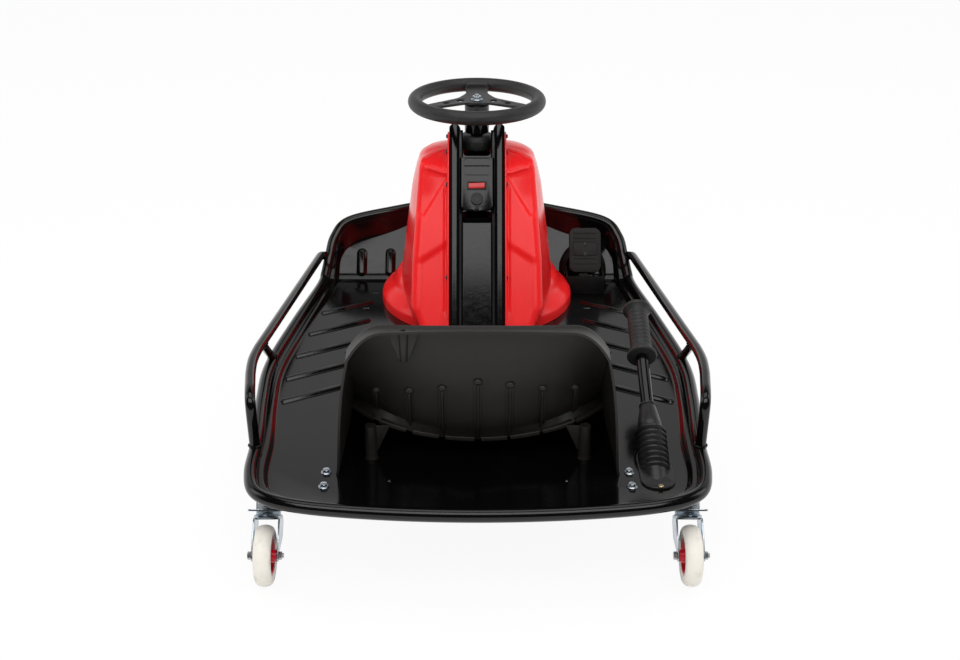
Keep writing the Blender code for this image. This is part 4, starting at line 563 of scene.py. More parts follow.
def loaf(length, width, height, sink=0.0004):
    """Pressed bead lying along X: a long round-ended ridge whose foot runs out smoothly."""
    rings = []
    for n in range(9):
        t = n / 8
        z = height * (0.5 - 0.5 * math.cos(math.pi * t)) - sink * (1 - t)
        half_w = width / 2 * (1.10 - 0.85 * t)
        ring = []
        for end in (1, -1):
            for k in range(9):
                angle = -math.pi / 2 + math.pi * k / 8
                ring.append((end * (length / 2 - width / 2 + half_w * math.cos(angle)),
                             end * half_w * math.sin(angle), z))
        rings.append(ring)
    return loft(rings)


def moved(bm, location=(0.0, 0.0, 0.0), rotation=None):
    """The same mesh turned, then shifted."""
    if rotation is not None:
        bmesh.ops.transform(bm, matrix=rotation, verts=bm.verts)
    bmesh.ops.translate(bm, vec=Vector(location), verts=bm.verts)
    return bm


def flipped(bm):
    """Left-hand copy of a right-hand mesh."""
    twin = bm.copy()
    bmesh.ops.scale(twin, vec=(-1.0, 1.0, 1.0), verts=twin.verts)
    bmesh.ops.reverse_faces(twin, faces=twin.faces)
    return twin


def together(*meshes):
    """Several meshes as one; the parts are used up."""
    whole = bmesh.new()
    for bm in meshes:
        part = bpy.data.meshes.new("part")
        bm.to_mesh(part)
        bm.free()
        whole.from_mesh(part)
        bpy.data.meshes.remove(part)
    return whole


def as_object(bm, name="work"):
    """The mesh as an object of the scene; the mesh is used up."""
    mesh = bpy.data.meshes.new(name)
    bm.to_mesh(mesh)
    bm.free()
    thing = bpy.data.objects.new(name, mesh)
    bpy.context.scene.collection.objects.link(thing)
    return thing


def taken_out(*things):
    """Mesh of the first object after its modifiers; all the objects are removed."""
    graph = bpy.context.evaluated_depsgraph_get()
    result = bmesh.new()
    result.from_mesh(bpy.data.meshes.new_from_object(things[0].evaluated_get(graph)))
    for thing in things:
        old = thing.data
        bpy.data.objects.remove(thing)
        bpy.data.meshes.remove(old)
    return result


def combined(bm, tool, operation="DIFFERENCE"):
    """Cuts or joins one closed mesh with another; both are used up."""
    pair = [as_object(part) for part in (bm, tool)]
    step = pair[0].modifiers.new("step", "BOOLEAN")
    step.operation = operation
    step.solver = "EXACT"
    step.object = pair[1]
    return taken_out(*pair)


def cut(bm, *tools):
    """The mesh less each of the tools, in their order."""
    for tool in tools:
        bm = combined(bm, tool)
    return bm


def worked(bm, *steps):
    """The mesh after modifiers, each given as (type, settings)."""
    thing = as_object(bm)
    for kind, settings in steps:
        step = thing.modifiers.new(kind.lower(), kind)
        for key, value in settings.items():
            setattr(step, key, value)
    return taken_out(thing)


def walled(bm, wall, even=True):
    """Gives an open skin its wall on the side away from its normals."""
    return worked(bm, ("SOLIDIFY", {"thickness": wall, "offset": -1.0, "use_even_offset": even}))


def softened(bm, width=0.0006, segments=2, angle=35.0):
    """The same body with its sharp edges rounded."""
    return worked(bm, ("BEVEL", {"width": width, "segments": segments, "limit_method": "ANGLE",
                                 "angle_limit": math.radians(angle), "use_clamp_overlap": True}))


def piece(name, bm, finish, body="chassis", nodes=(), sharp=34.0, ride=True):
    """A shown piece from a finished mesh: its finish, the body it moves with and what it stands for."""
    thing = as_object(bm, name)
    thing.data.shade_smooth()
    thing.data.set_sharp_from_angle(angle=math.radians(sharp))
    thing.data.materials.append(finishes()[finish])
    if ride:
        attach(thing, body)
    if nodes:
        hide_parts(*nodes)
    return thing


FINISHES = {}


def finishes():
    """All finishes of the kart, made once; most carry the record's slot names."""
    if not FINISHES:
        paint = bpy.context.scene.kart_paint
        black = tuple(paint.black)
        red = tuple(paint.red)
        FINISHES.update(
            gloss_black_paint=enamel("gloss_black_paint", black, tuple(c * 1.9 for c in black), 0.10),
            gloss_black_moulding=enamel("gloss_black_moulding", black, tuple(c * 2.2 for c in black), 0.16, 260.0),
            black_moulding=moulding("black_moulding", (0.012, 0.012, 0.012), (0.022, 0.021, 0.021), 0.38),
            charcoal_moulding=moulding("charcoal_moulding", tuple(paint.seat),
                                       tuple(c * 1.4 for c in paint.seat), 0.44, 700.0, 0.00016),
            red_moulding=gloss_shell("red_moulding", red, (red[0] * 0.94, red[1] * 0.8, red[2] * 0.8), 0.19),
            black_rubber=rubber("black_rubber", (0.019, 0.018, 0.018), (0.034, 0.032, 0.032), 0.42),
            tyre_rubber=tyre_skin("tyre_rubber", (0.016, 0.016, 0.016), (0.034, 0.032, 0.030)),
            zinc_plate=plated("zinc_plate", (0.46, 0.50, 0.53), (0.32, 0.38, 0.45), 0.17),
            plain_steel=plated("plain_steel", (0.54, 0.54, 0.55), (0.44, 0.43, 0.42), 0.28),
            alloy=plated("alloy", (0.66, 0.67, 0.68), (0.58, 0.58, 0.60), 0.30, (1.0, 6.0, 1.0)),
            white_tread=tread_skin("white_tread", tuple(paint.tread), (0.60, 0.56, 0.48)),
            red_hub=gloss_shell("red_hub", tuple(paint.hub), tuple(c * 0.8 for c in paint.hub), 0.24),
            battery_case=moulding("battery_case", (0.050, 0.052, 0.056), (0.075, 0.076, 0.080), 0.46),
            red_rocker=lens("red_rocker", (0.62, 0.012, 0.014)),
        )
        FINISHES.update(
            bright_zinc=plated("bright_zinc", (0.72, 0.76, 0.80), (0.58, 0.66, 0.76), 0.22),
            brass=plated("boot_screw_brass", (0.78, 0.64, 0.42), (0.62, 0.48, 0.28), 0.24),
            pedal_rubber=rubber("pedal_rubber", (0.0085, 0.0066, 0.0068), (0.015, 0.013, 0.013), 0.46, ior=1.36),
            hood_moulding=moulding("hood_moulding", (0.005, 0.005, 0.005), (0.009, 0.009, 0.009), 0.34, ior=1.30),
            bellows_rubber=rubber("bellows_rubber", (0.012, 0.0115, 0.0118), (0.022, 0.021, 0.021), 0.27, ior=1.52),
        )
    return FINISHES


# Frames of reference on the kart
def tilted_caster(side):
    """Frame of a caster's swivel: its Z is the tilted stem."""
    place = (side * CASTER_X, BAR_Y + CASTER_SET * COS_T - CASTER_STAND * SIN_T,
             BAR_Z - CASTER_SET * SIN_T - CASTER_STAND * COS_T)
    return Matrix.Translation(place) @ Matrix.Rotation(-CASTER_TILT, 4, "X")


def spine_y(z):
    """Rear face of the spine's ridges at a height."""
    return SPINE_REF_Y - (SPINE_REF_Z - z) / math.tan(SPINE_SLOPE)


def slope_at(z):
    """Distance up the spine's slope for a height."""
    return (z - FLOOR_Z) / math.sin(SPINE_SLOPE)


def spine_frame():
    """Turns (across, along the slope, out of the face) into the world."""
    up = Vector((0, math.cos(SPINE_SLOPE), math.sin(SPINE_SLOPE)))
    out = Vector((0, -math.sin(SPINE_SLOPE), math.cos(SPINE_SLOPE)))
    turn = Matrix((Vector((1, 0, 0)), up, out)).transposed().to_4x4()
    return Matrix.Translation((0, spine_y(FLOOR_Z), FLOOR_Z)) @ turn


def panel_frame(down, out):
    """Frame on the switch panel: distance down from its top edge, and out of its face."""
    return spine_frame() @ Matrix.Translation((0, slope_at(PANEL_TOP_Z) - down, out))


PANEL_FACE = -RIDGE_H + GAP + PANEL_T


def lever_frame():
    """Frame of the hand lever: its Z runs along the lever from the drift bar's axis."""
    return Matrix.Translation((LEVER_X, BAR_Y, BAR_Z)) @ Matrix.Rotation(LEVER_ANGLE - math.pi / 2, 4, "X")


def pad_frame():
    """Frame of the pedal's pad: its Z stands out of the pad's face."""
    return Matrix.Translation((PEDAL_X, PEDAL_Y, PEDAL_Z)) @ Matrix.Rotation(math.radians(60.0), 4, "X")


def frame_outline(count):
    """Centre line of the perimeter tube, from the rear middle round by the right side."""
    half = FRAME_HALF
    front = FRONT_Y
    rear = REAR_Y
    right = [(0.150, rear + 0.008, 0.0), (0.280, rear + 0.028, 0.0), (half - 0.040, rear + 0.062, 0.0),
             (half - 0.019, rear + 0.125, 0.0), (half - 0.015, rear + 0.235, 0.0),
             (half - 0.003, rear + 0.377, 0.0), (half, rear + 0.515, 0.0),
             (half - 0.027, front - 0.360, 0.0), (half - 0.058, front - 0.180, 0.0),
             (half - 0.064, front - 0.138, 0.012), (half - 0.071, front - 0.109, 0.041),
             (half - 0.081, front - 0.082, 0.073), (half - 0.111, front - 0.060, 0.100),
             (half - 0.204, front - 0.038, 0.115), (0.095, front - 0.014, 0.121)]
    left = [(-x, y, z) for x, y, z in reversed(right)]
    points = [(0.0, rear + 0.0009, 0.0), *right, (0.0, front - 0.0009, 0.122), *left]
    return spline([(x, y, z + TUBE_Z) for x, y, z in points], count, closed=True)


def inward(path, k, distance):
    """Point beside the tube's centre line, on the inner side, at the same height."""
    along = path[(k + 1) % len(path)] - path[k - 1]
    return path[k] + Vector((-along.y, along.x, 0.0)).normalized() * distance


def rim_width(point):
    """Share of the pan's full rim width beside one place of the tube."""
    return 1.0 - RIM_NARROWING * min(1.0, max(0.0, (point.z - TUBE_Z) / 0.050))


def nearest_station(y_wanted, z_wanted):
    """Point of the right half of the tube's centre line closest to a height and place."""
    path = [p for p in frame_outline(448) if p.x > 0]
    return min(path, key=lambda p: abs(p.y - y_wanted) + abs(p.z - z_wanted))


TOE_BEND = 0.010             # reach of the soft bend to each side of TOE_Y


def floor_height(y):
    """Top of the pan, with the soft bend up to the toe board."""
    s = y - TOE_Y
    if s <= -TOE_BEND:
        return FLOOR_Z
    if s >= TOE_BEND:
        return FLOOR_Z + s * TOE_SLOPE
    return FLOOR_Z + TOE_SLOPE * (s + TOE_BEND) ** 2 / (4 * TOE_BEND)


def toe_frame(x, y):
    """Frame on the toe board at a place: X across, Y up the board."""
    return (Matrix.Translation((x, y, FLOOR_Z + (y - TOE_Y) * TOE_SLOPE))
            @ Matrix.Rotation(math.atan(TOE_SLOPE), 4, "X"))


# Small fasteners
def hex_bolt(size, flange_r, flange_t, head, thread_r=0.0, thread=0.0):
    """Flange bolt head or nut, standing on Z = 0, with chamfered corners."""
    across = size * math.cos(math.pi / 6)
    body = prism(circle(size, 6), flange_t * 0.5, head)
    chamfer = lathe(((0.0, 0.0), (size * 1.3, 0.0), (size * 1.3, head - (size * 1.3 - across) * 0.55),
                     (across * 0.97, head), (0.0, head)), 36)
    body = softened(combined(body, chamfer, "INTERSECT"), size * 0.05, 2)
    parts = [body]
    if flange_r:
        parts.append(lathe(((0.0, 0.0), (flange_r, 0.0), (flange_r, flange_t * 0.45),
                            (size * 1.0, flange_t), (0.0, flange_t)), 36, soft=flange_t * 0.3))
    if thread_r:
        parts.append(lathe(((0.0, head * 0.5), (thread_r, head * 0.5), (thread_r, head + thread * 0.8),
                            (thread_r * 0.75, head + thread), (0.0, head + thread)), 24))
    return together(*parts)


def button_screw(radius, height):
    """Round-headed screw with a hexagon socket, standing on Z = 0."""
    dome = [(0.0, 0.0), (radius, 0.0)]
    for k in range(1, 7):
        angle = math.pi / 2 * k / 6
        dome.append((radius * (1 - 0.42 * (1 - math.cos(angle))), height * math.sin(angle)))
    dome.append((0.0, height))
    return cut(lathe(dome, 28), prism(circle(radius * 0.36, 6), height * 0.45, height * 1.5))


def cross_screw(radius, height):
    """Pan-headed screw with a cross slot, standing on Z = 0."""
    dome = [(0.0, 0.0), (radius, 0.0), (radius, height * 0.35)]
    for k in range(1, 6):
        angle = math.pi / 2 * k / 5
        dome.append((radius * (0.60 + 0.40 * math.cos(angle)), height * (0.35 + 0.65 * math.sin(angle))))
    dome.append((0.0, height))
    slots = [prism(rounded_box(radius * a, radius * b, radius * 0.05, 2), height * 0.45, height * 1.5)
             for a, b in ((0.55, 0.12), (0.12, 0.55))]
    return cut(lathe(dome, 28), *slots)


def repeated(bm, places):
    """Copies of one mesh at several frames, as one mesh."""
    copies = [moved(bm.copy(), rotation=place) for place in places]
    bm.free()
    return together(*copies)


# Settings shown in the sidebar
class KartPaint(bpy.types.PropertyGroup):
    """Colours of the kart's main materials."""
    black: bpy.props.FloatVectorProperty(name="Frame enamel", description="Colour of the black steel parts",
                                         subtype="COLOR", size=3, min=0.0, max=1.0,
                                         default=(0.0016, 0.0015, 0.0015))
    red: bpy.props.FloatVectorProperty(name="Shroud", description="Colour of the moulded wheel shroud",
                                       subtype="COLOR", size=3, min=0.0, max=1.0,
                                       default=(0.860, 0.016, 0.018))
    seat: bpy.props.FloatVectorProperty(name="Seat", description="Colour of the moulded seat",
                                        subtype="COLOR", size=3, min=0.0, max=1.0,
                                        default=(0.0110, 0.0092, 0.0080))
    tread: bpy.props.FloatVectorProperty(name="Caster treads", description="Colour of the caster treads",
                                         subtype="COLOR", size=3, min=0.0, max=1.0,
                                         default=(0.800, 0.765, 0.690))
    hub: bpy.props.FloatVectorProperty(name="Caster hubs", description="Colour of the caster hubs",
                                       subtype="COLOR", size=3, min=0.0, max=1.0,
                                       default=(0.560, 0.008, 0.024))


class KartShape(bpy.types.PropertyGroup):
    """Sizes of the finer shapes."""
    stations: bpy.props.IntProperty(name="Frame stations", description="Cross-sections round the frame tube",
                                    default=288, min=56, max=600)
    tube_sides: bpy.props.IntProperty(name="Tube sides", description="Sides of the round steel tubes",
                                      default=24, min=8, max=64)
    rib_height: bpy.props.FloatProperty(name="Rib height", description="Height of the floor pan's pressed ribs",
                                        default=0.005, min=0.001, max=0.010, unit="LENGTH")
    rim_roll: bpy.props.FloatProperty(name="Seat rim radius", description="Radius of the seat's rolled rim",
                                      default=0.005, min=0.002, max=0.010, unit="LENGTH")
    grip_grooves: bpy.props.IntProperty(name="Grip grooves", description="Grooves round the lever's grip",
                                        default=9, min=0, max=24)


class KartStage(bpy.types.PropertyGroup):
    """Floor, light and camera."""
    floor: bpy.props.FloatVectorProperty(name="Floor", description="Colour of the studio floor",
                                         subtype="COLOR", size=3, min=0.0, max=1.0,
                                         default=(0.90, 0.90, 0.90))
    softbox: bpy.props.FloatProperty(name="Softbox", description="Brightness of the large softbox",
                                     default=2.5, min=0.0, max=10.0)
    ambient: bpy.props.FloatProperty(name="Ambient", description="Light from all round",
                                     default=0.70, min=0.0, max=2.0)
    camera_height: bpy.props.FloatProperty(name="Camera height", description="Height of the camera",
                                           default=1.306, min=0.1, max=5.0, unit="LENGTH")
    camera_back: bpy.props.FloatProperty(name="Camera distance", description="Camera behind the kart's middle",
                                         default=2.333, min=0.5, max=8.0, unit="LENGTH")
    lens: bpy.props.FloatProperty(name="Lens", description="Focal length", default=52.1, min=10.0, max=200.0,
                                  unit="CAMERA")


# Frame, pan and rails
PAN_RIBS = 5
PAN_RIB_Y = -0.121           # rearmost rib, where it crosses PAN_RIB_X
PAN_RIB_PITCH = 0.0905
PAN_RIB_X = 0.295
PAN_RIB_LEAN = math.radians(30.5)
PAN_RIB_INNER = (0.212, 0.243)           # inner ends ahead of the seat's front and beside the seat
PAN_RIB_W = 0.014
TOE_BEAD_X = (0.185, 0.246)
TOE_BEAD_UP = 0.0245
TOE_BEAD_SIZE = (0.066, 0.0235, 0.006)
PAN_SLOTS = ((0.212, 0.336), (0.226, 0.259))
RAIL_R = 0.0088
RAIL_TOP_Z = 0.250
STRUT_R = 0.0075
WELD_STATIONS = 48
WELD_R = 0.0018


def build_tube():
    """Perimeter tube of the frame."""
    shape = bpy.context.scene.kart_shape
    path = frame_outline(shape.stations)
    piece("tube_frame", sweep(path, circle(TUBE_R, shape.tube_sides), closed=True, up=(0, 0, 1)),
          "gloss_black_paint", nodes=("frame_tube",))


def pan_skin(path):
    """Top skin of the pan: lip, rounded step, floor and toe board, as one open sheet."""
    count = len(path)
    edge_y = TOE_Y + TOE_TOP_Z / TOE_SLOPE
    outer = [inward(path, k, TUBE_R - 0.0008) for k in range(count)]
    lip = [inward(path, k, TUBE_R + GAP + LIP_W * 0.78 * rim_width(path[k])) for k in range(count)]
    inner = [inward(path, k, TUBE_R + GAP + (LIP_W + STEP_W) * rim_width(path[k])) for k in range(count)]
    for point in inner:
        point.y = min(point.y, edge_y)
        point.z = floor_height(point.y)
    rings = [outer, lip]
    for t in (0.12, 0.25, 0.38, 0.5, 0.62, 0.75, 0.88, 1.0):
        drop = smooth(t)
        ring = []
        for a, b in zip(lip, inner):
            point = a.lerp(b, t)
            point.z = a.z + (b.z - a.z) * drop
            ring.append(point)
        rings.append(ring)
    bm = bmesh.new()
    rows = [[bm.verts.new(p) for p in ring] for ring in rings]
    for low, high in zip(rows, rows[1:]):
        for k in range(count):
            n = (k + 1) % count
            bm.faces.new((low[k], low[n], high[n], high[k]))
    for vert in rows[-1]:
        vert.co.z = 0.0
    sheet = bm.faces.new(rows[-1])
    flat = [sheet]
    for step in range(-5, 6):
        geometry = flat + list({e for f in flat for e in f.edges}) + list({v for f in flat for v in f.verts})
        cutting = bmesh.ops.bisect_plane(bm, geom=geometry, dist=1e-7,
                                         plane_co=(0, TOE_Y + step * 0.002, 0), plane_no=(0, 1, 0))
        flat = [g for g in cutting["geom"] if isinstance(g, bmesh.types.BMFace)]
    for vert in {v for f in flat for v in f.verts}:
        vert.co.z = floor_height(vert.co.y)
    bmesh.ops.recalc_face_normals(bm, faces=bm.faces)
    if sum(face.normal.z * face.calc_area() for face in bm.faces) < 0:
        bmesh.ops.reverse_faces(bm, faces=bm.faces)
    return bm


def rib_places():
    """Length and frame of each slanted rib, its outer end just inside the pan's step."""
    lean = PAN_RIB_LEAN
    inset = TUBE_R + GAP + LIP_W + STEP_W + 0.003
    for side in (1, -1):
        for n in range(PAN_RIBS):
            y = PAN_RIB_Y + n * PAN_RIB_PITCH
            outer_x = PAN_RIB_X
            inner_x = PAN_RIB_INNER[0 if y > SEAT_FRONT_Y else 1]
            for _ in range(4):
                outer_x = nearest_station(y - (outer_x - PAN_RIB_X) * math.tan(lean), TUBE_Z).x - inset
            middle = (outer_x + inner_x) / 2
            place = Matrix.Translation((side * middle, y - (middle - PAN_RIB_X) * math.tan(lean), FLOOR_Z))
            yield (outer_x - inner_x) / math.cos(lean), place @ Matrix.Rotation(-side * lean, 4, "Z")


def lever_slot():
    """Low and high end of the pan's slot for the lever, along Y."""
    slant = LEVER_R / math.cos(LEVER_ANGLE)
    front = BAR_Y + (FLOOR_Z + slant - BAR_Z) / math.tan(LEVER_ANGLE)
    return BAR_Y - LEVER_R - 4 * RUN, front + 4 * RUN


def build_pan():
    """Pressed pan with its holes, slots, ribs and the toe board's beads."""
    shape = bpy.context.scene.kart_shape
    bm = walled(pan_skin(frame_outline(shape.stations)), PAN_T)
    through = (FLOOR_Z - 0.02, FLOOR_Z + 0.03)
    low, high = lever_slot()
    slot = rounded_box(LEVER_R + 4 * RUN, (high - low) / 2, LEVER_R, 8, (LEVER_X, (low + high) / 2))
    tools = [lathe(((0.0, 0.05), (WELL_R, 0.05), (WELL_R, 0.40), (0.0, 0.40)), 96, centre=(0, STEER_Y, 0)),
             prism(slot, *through)]
    for side in (1, -1):
        tools += [prism(circle(0.0043, 16, (side * BRACKET_X, BAR_Y + end * BOLT_REACH)), *through)
                  for end in (1, -1)]
        tools += [prism(rounded_box(0.0075, 0.0023, 0.0022, 5, (side * x, y)), *through) for x, y in PAN_SLOTS]
        tools.append(prism(circle(0.0028, 16, (side * 0.142, -0.419)), *through))
    bm = cut(bm, *tools)
    beads = [moved(loaf(length, PAN_RIB_W, shape.rib_height), rotation=place) for length, place in rib_places()]
    beads += [moved(loaf(*TOE_BEAD_SIZE), rotation=toe_frame(-x, TOE_Y + TOE_BEAD_UP)
                    @ Matrix.Rotation(math.pi / 2, 4, "Z")) for x in TOE_BEAD_X]
    piece("pressed_pan", together(bm, *beads), "gloss_black_paint", nodes=("floor_pan",))


def weld_bead(centre, radius, normal):
    """Lumpy ring of weld where a tube meets another piece."""
    up = Vector(normal).normalized()
    side = up.orthogonal().normalized()
    over = up.cross(side)
    path = []
    for k in range(WELD_STATIONS):
        angle = 2 * math.pi * k / WELD_STATIONS
        lump = 1 + 0.10 * math.sin(angle * 17)
        path.append(Vector(centre) + (side * math.cos(angle) + over * math.sin(angle)) * radius * lump ** 0.3)
    sizes = [1 + 0.22 * math.sin(2 * math.pi * k / WELD_STATIONS * 16) for k in range(WELD_STATIONS)]
    return sweep(path, circle(WELD_R, 8), closed=True, up=up, sizes=sizes)


def build_rails():
    """Bent side rails with their braces, welded to the perimeter tube."""
    sides = bpy.context.scene.kart_shape.tube_sides
    foot = nearest_station(-0.335, TUBE_Z)
    front = nearest_station(FRONT_Y - 0.109, TUBE_Z + 0.041)
    front_end = front + Vector((1.0, -0.30, 0.0)).normalized() * TUBE_R * 0.4
    corner = Vector((FRAME_HALF + 0.006, -0.188, RAIL_TOP_Z))
    rear_bend = Vector((foot.x + 0.003, foot.y, RAIL_TOP_Z))
    path = bent([(foot.x, foot.y, TUBE_Z + TUBE_R * 0.5), rear_bend, corner,
                 (front.x + 0.019, front.y - 0.010, front.z + 0.003), front_end], 0.012)
    path = evened(path, 0.006, 4)
    for bend, reach, rounds in ((corner, 14, 260), (rear_bend, 9, 50)):
        middle = min(range(len(path)), key=lambda k: (path[k] - bend).length)
        relaxed = evened(path[middle - reach:middle + reach + 1], 0.007, rounds)
        path = path[:middle - reach] + relaxed + path[middle + reach + 1:]
    rail = sweep(path, circle(RAIL_R, sides))
    strut_foot = nearest_station(0.007, TUBE_Z)
    strut_top = min(path, key=lambda p: abs(p.y + 0.110) if p.z > 0.2 else 9.0)
    strut = sweep([strut_foot + Vector((0, 0, TUBE_R * 0.3)), strut_foot.lerp(strut_top, 0.5), strut_top],
                  circle(STRUT_R, sides))
    along = (strut_top - strut_foot).normalized()
    welds = [weld_bead((foot.x, foot.y, TUBE_Z + TUBE_R * 0.93), 0.0096, (0, 0, 1)),
             weld_bead(strut_foot + along * TUBE_R, 0.0084, along),
             weld_bead(strut_top - along * 0.0092, 0.0084, along)]
    right = together(rail, strut, *welds)
    left = flipped(right)
    piece("guard_rail_right", right, "gloss_black_paint", nodes=("side_rail_right",))
    piece("guard_rail_left", left, "gloss_black_paint", nodes=("side_rail_left",))


# Spine, head and controls
def build_spine():
    """Pressed channel with two ridges, deep side flanges and rounded ears."""
    t = SPINE_SHEET
    inner = SPINE_HALF - RIDGE_W
    draft = 0.003
    crown = 0.0035
    outside = [(SPINE_HALF, -FLANGE_DEPTH), (SPINE_HALF, -crown)]
    outside += [(SPINE_HALF + (inner + draft - SPINE_HALF) * k / 12, -crown * (k / 6 - 1) ** 2) for k in range(1, 12)]
    outside += [(inner + draft, -crown), (inner - draft, -RIDGE_H)]
    inside = [(inner - draft + t * 0.4, -RIDGE_H - t), (inner + draft + t * 0.4, -t), (SPINE_HALF - t, -t),
              (SPINE_HALF - t, -FLANGE_DEPTH)]
    outline = outside + [(-x, z) for x, z in reversed(outside)] + [(-x, z) for x, z in reversed(inside)] + inside
    round_by = {-crown: 0.003, -RIDGE_H: 0.004, -t: 0.006, -RIDGE_H - t: 0.004}
    points = []
    total = len(outline)
    for k, (x, z) in enumerate(outline):
        radius = round_by.get(z, 0.0)
        trio = [outline[k - 1], (x, z), outline[(k + 1) % total]]
        points += filleted(trio, radius, 5, closed=False)[1:-1] if radius else [(x, z)]
    top = slope_at(SPINE_EAR_Z)
    bm = moved(prism(points, -0.06, top, "Y"), rotation=spine_frame())
    ear_half = RIDGE_W / 2
    notch_low = slope_at(SPINE_NOTCH_Z)
    edge = inner - draft - 0.001
    notch = filleted([(-edge, notch_low), (edge, notch_low), (edge, top + 0.03), (-edge, top + 0.03)], 0.008, 6)
    depth = (-FLANGE_DEPTH - 0.02, 0.02)
    tools = [moved(prism(notch, *depth), rotation=spine_frame())]
    for side in (1, -1):
        middle = side * (SPINE_HALF - ear_half + 0.001)
        arc = [(middle + ear_half * math.cos(a), top - ear_half + ear_half * math.sin(a))
               for a in (math.pi * k / 20 for k in range(21))]
        keep_out = arc + [(middle - 0.03, top - ear_half), (middle - 0.03, top + 0.03),
                          (middle + 0.03, top + 0.03), (middle + 0.03, top - ear_half)]
        tools.append(moved(prism(keep_out, *depth), rotation=spine_frame()))
        tools.append(moved(prism(circle(0.0021, 20, (middle, top - 0.026)), -0.0018, 0.02), rotation=spine_frame()))
    room = ((0.0, -0.02), (WELL_R, -0.02), (WELL_R, 0.200), (0.150, 0.215), (0.150, 0.298), (0.080, 0.312),
            (0.080, 0.346), (0.0, 0.346))
    tools.append(lathe(room, 64, centre=(0, STEER_Y, 0)))
    tools += [moved(prism(hole, -0.02, 0.0), rotation=panel_frame(0, 0)) for hole in panel_holes(0.0015)]
    recess = rounded_box(inner - draft, 0.0115, 0.004, 5, (0, -0.1170))
    tools.append(moved(prism(recess, -0.02, 0.004), rotation=panel_frame(0, 0)))
    low = FLOOR_Z + GAP
    tools.append(prism([(-0.6, -0.05), (0.6, -0.05), (0.6, low), (-0.6, low)], -0.5, 0.5, "X"))
    piece("steering_spine", cut(bm, *tools), "gloss_black_paint", nodes=("spine_channel",))


def panel_holes(room):
    """Outlines of the switch window and the port's hole, in the panel's frame."""
    window = rounded_box(WINDOW_HALF[0] + room, WINDOW_HALF[1] + room, 0.001, 4, (0, -SWITCH_DOWN))
    return window, circle(PORT_BODY_R + GAP + room, 28, (0, -PORT_DOWN))


def round_column(z, radius, turns):
    """Frames round the steering column's axis, each facing outward at a turn in degrees."""
    return [Matrix.Translation((0, STEER_Y, z)) @ Matrix.Rotation(math.radians(turn), 4, "Z")
            @ Matrix.Translation((radius, 0, 0)) @ Matrix.Rotation(math.pi / 2, 4, "Y") for turn in turns]


def build_head():
    """Cap over the upper bearing with its screws, and a finer skin on the column."""
    low = HEAD_Z + GAP
    cap = lathe(((0.032, low), (0.034, low + 0.002), (0.034, low + 0.018), (0.028, low + 0.027),
                 (COLUMN_R + RUN, low + 0.027), (COLUMN_R + RUN, low)), 64, centre=(0, STEER_Y, 0), ring=True,
                soft=0.0014)
    piece("head_cap", cap, "black_moulding", nodes=("bearing_cap",))
    places = round_column(low + 0.010, 0.0335, (200, 250, 290, 340, 45, 135))
    piece("head_cap_screws", repeated(cross_screw(0.0028, 0.0016), places), "black_moulding")
    base = COLUMN_FOOT_Z + GAP
    top = STEERING_Z - 0.003 - GAP
    column = lathe(((0.0, base), (COLUMN_R, base), (COLUMN_R, 0.502), (0.024, 0.502), (0.024, top - 0.004),
                    (0.021, top), (0.0, top)), 56, centre=(0, STEER_Y, 0), soft=0.0012)
    bolt = repeated(button_screw(0.0032, 0.002), round_column(0.528, 0.0238, (0, 180)))
    piece("steering_stem", together(column, bolt), "gloss_black_paint", "steering", ("steering_column",))


def build_panel():
    """Moulded insert with its pocket, bezel and hinge boss."""
    half = SPINE_HALF - RIDGE_W - 0.0002
    low = -RIDGE_H + GAP
    face = PANEL_FACE
    outline = [(-half, 0), (half, 0), (half, -0.098)]
    for k in range(1, 12):
        angle = math.pi * k / 12
        outline.append((half * 0.86 * math.cos(angle), -0.098 - 0.008 * math.sin(angle) ** 0.5))
    outline.append((-half, -0.098))
    place = panel_frame(0, 0)
    bm = moved(prism(filleted(outline, 0.003, 4), low, face, soft=0.0011), rotation=place)
    frame_half = half - 0.0045
    border = cut(prism(rounded_box(frame_half, 0.0175, 0.006, 6, (0, -0.0195)), face - 0.0026, face + 0.01),
                 prism(rounded_box(frame_half - 0.0022, 0.0153, 0.0046, 6, (0, -0.0195)), face - 0.01, face + 0.02))
    slit = prism(rounded_box(frame_half - 0.0010, 0.0042, 0.001, 3, (0, -0.0205)), face - 0.0052, face + 0.01)
    bm = cut(bm, moved(border, rotation=place), moved(slit, rotation=place))
    window, port = panel_holes(0.0)
    bezel = cut(prism(rounded_box(0.0200, 0.0088, 0.0025, 5, (0, -SWITCH_DOWN)), face - 0.001, face + 0.0018,
                      soft=0.0006), prism(window, face - 0.01, face + 0.01))
    piece("switch_bezel", moved(bezel, rotation=place), "black_rubber")
    boss = prism(circle(0.0042, 28, (0, -PORT_HINGE_DOWN - 0.001)), face - 0.001, face + PORT_FLANGE_T, soft=0.0005)
    bm = combined(bm, moved(boss, rotation=place), "UNION")
    bm = cut(bm, *[moved(prism(hole, low - 0.01, face + 0.01), rotation=place) for hole in (window, port)])
    piece("control_panel", bm, "gloss_black_moulding", nodes=("switch_panel",))


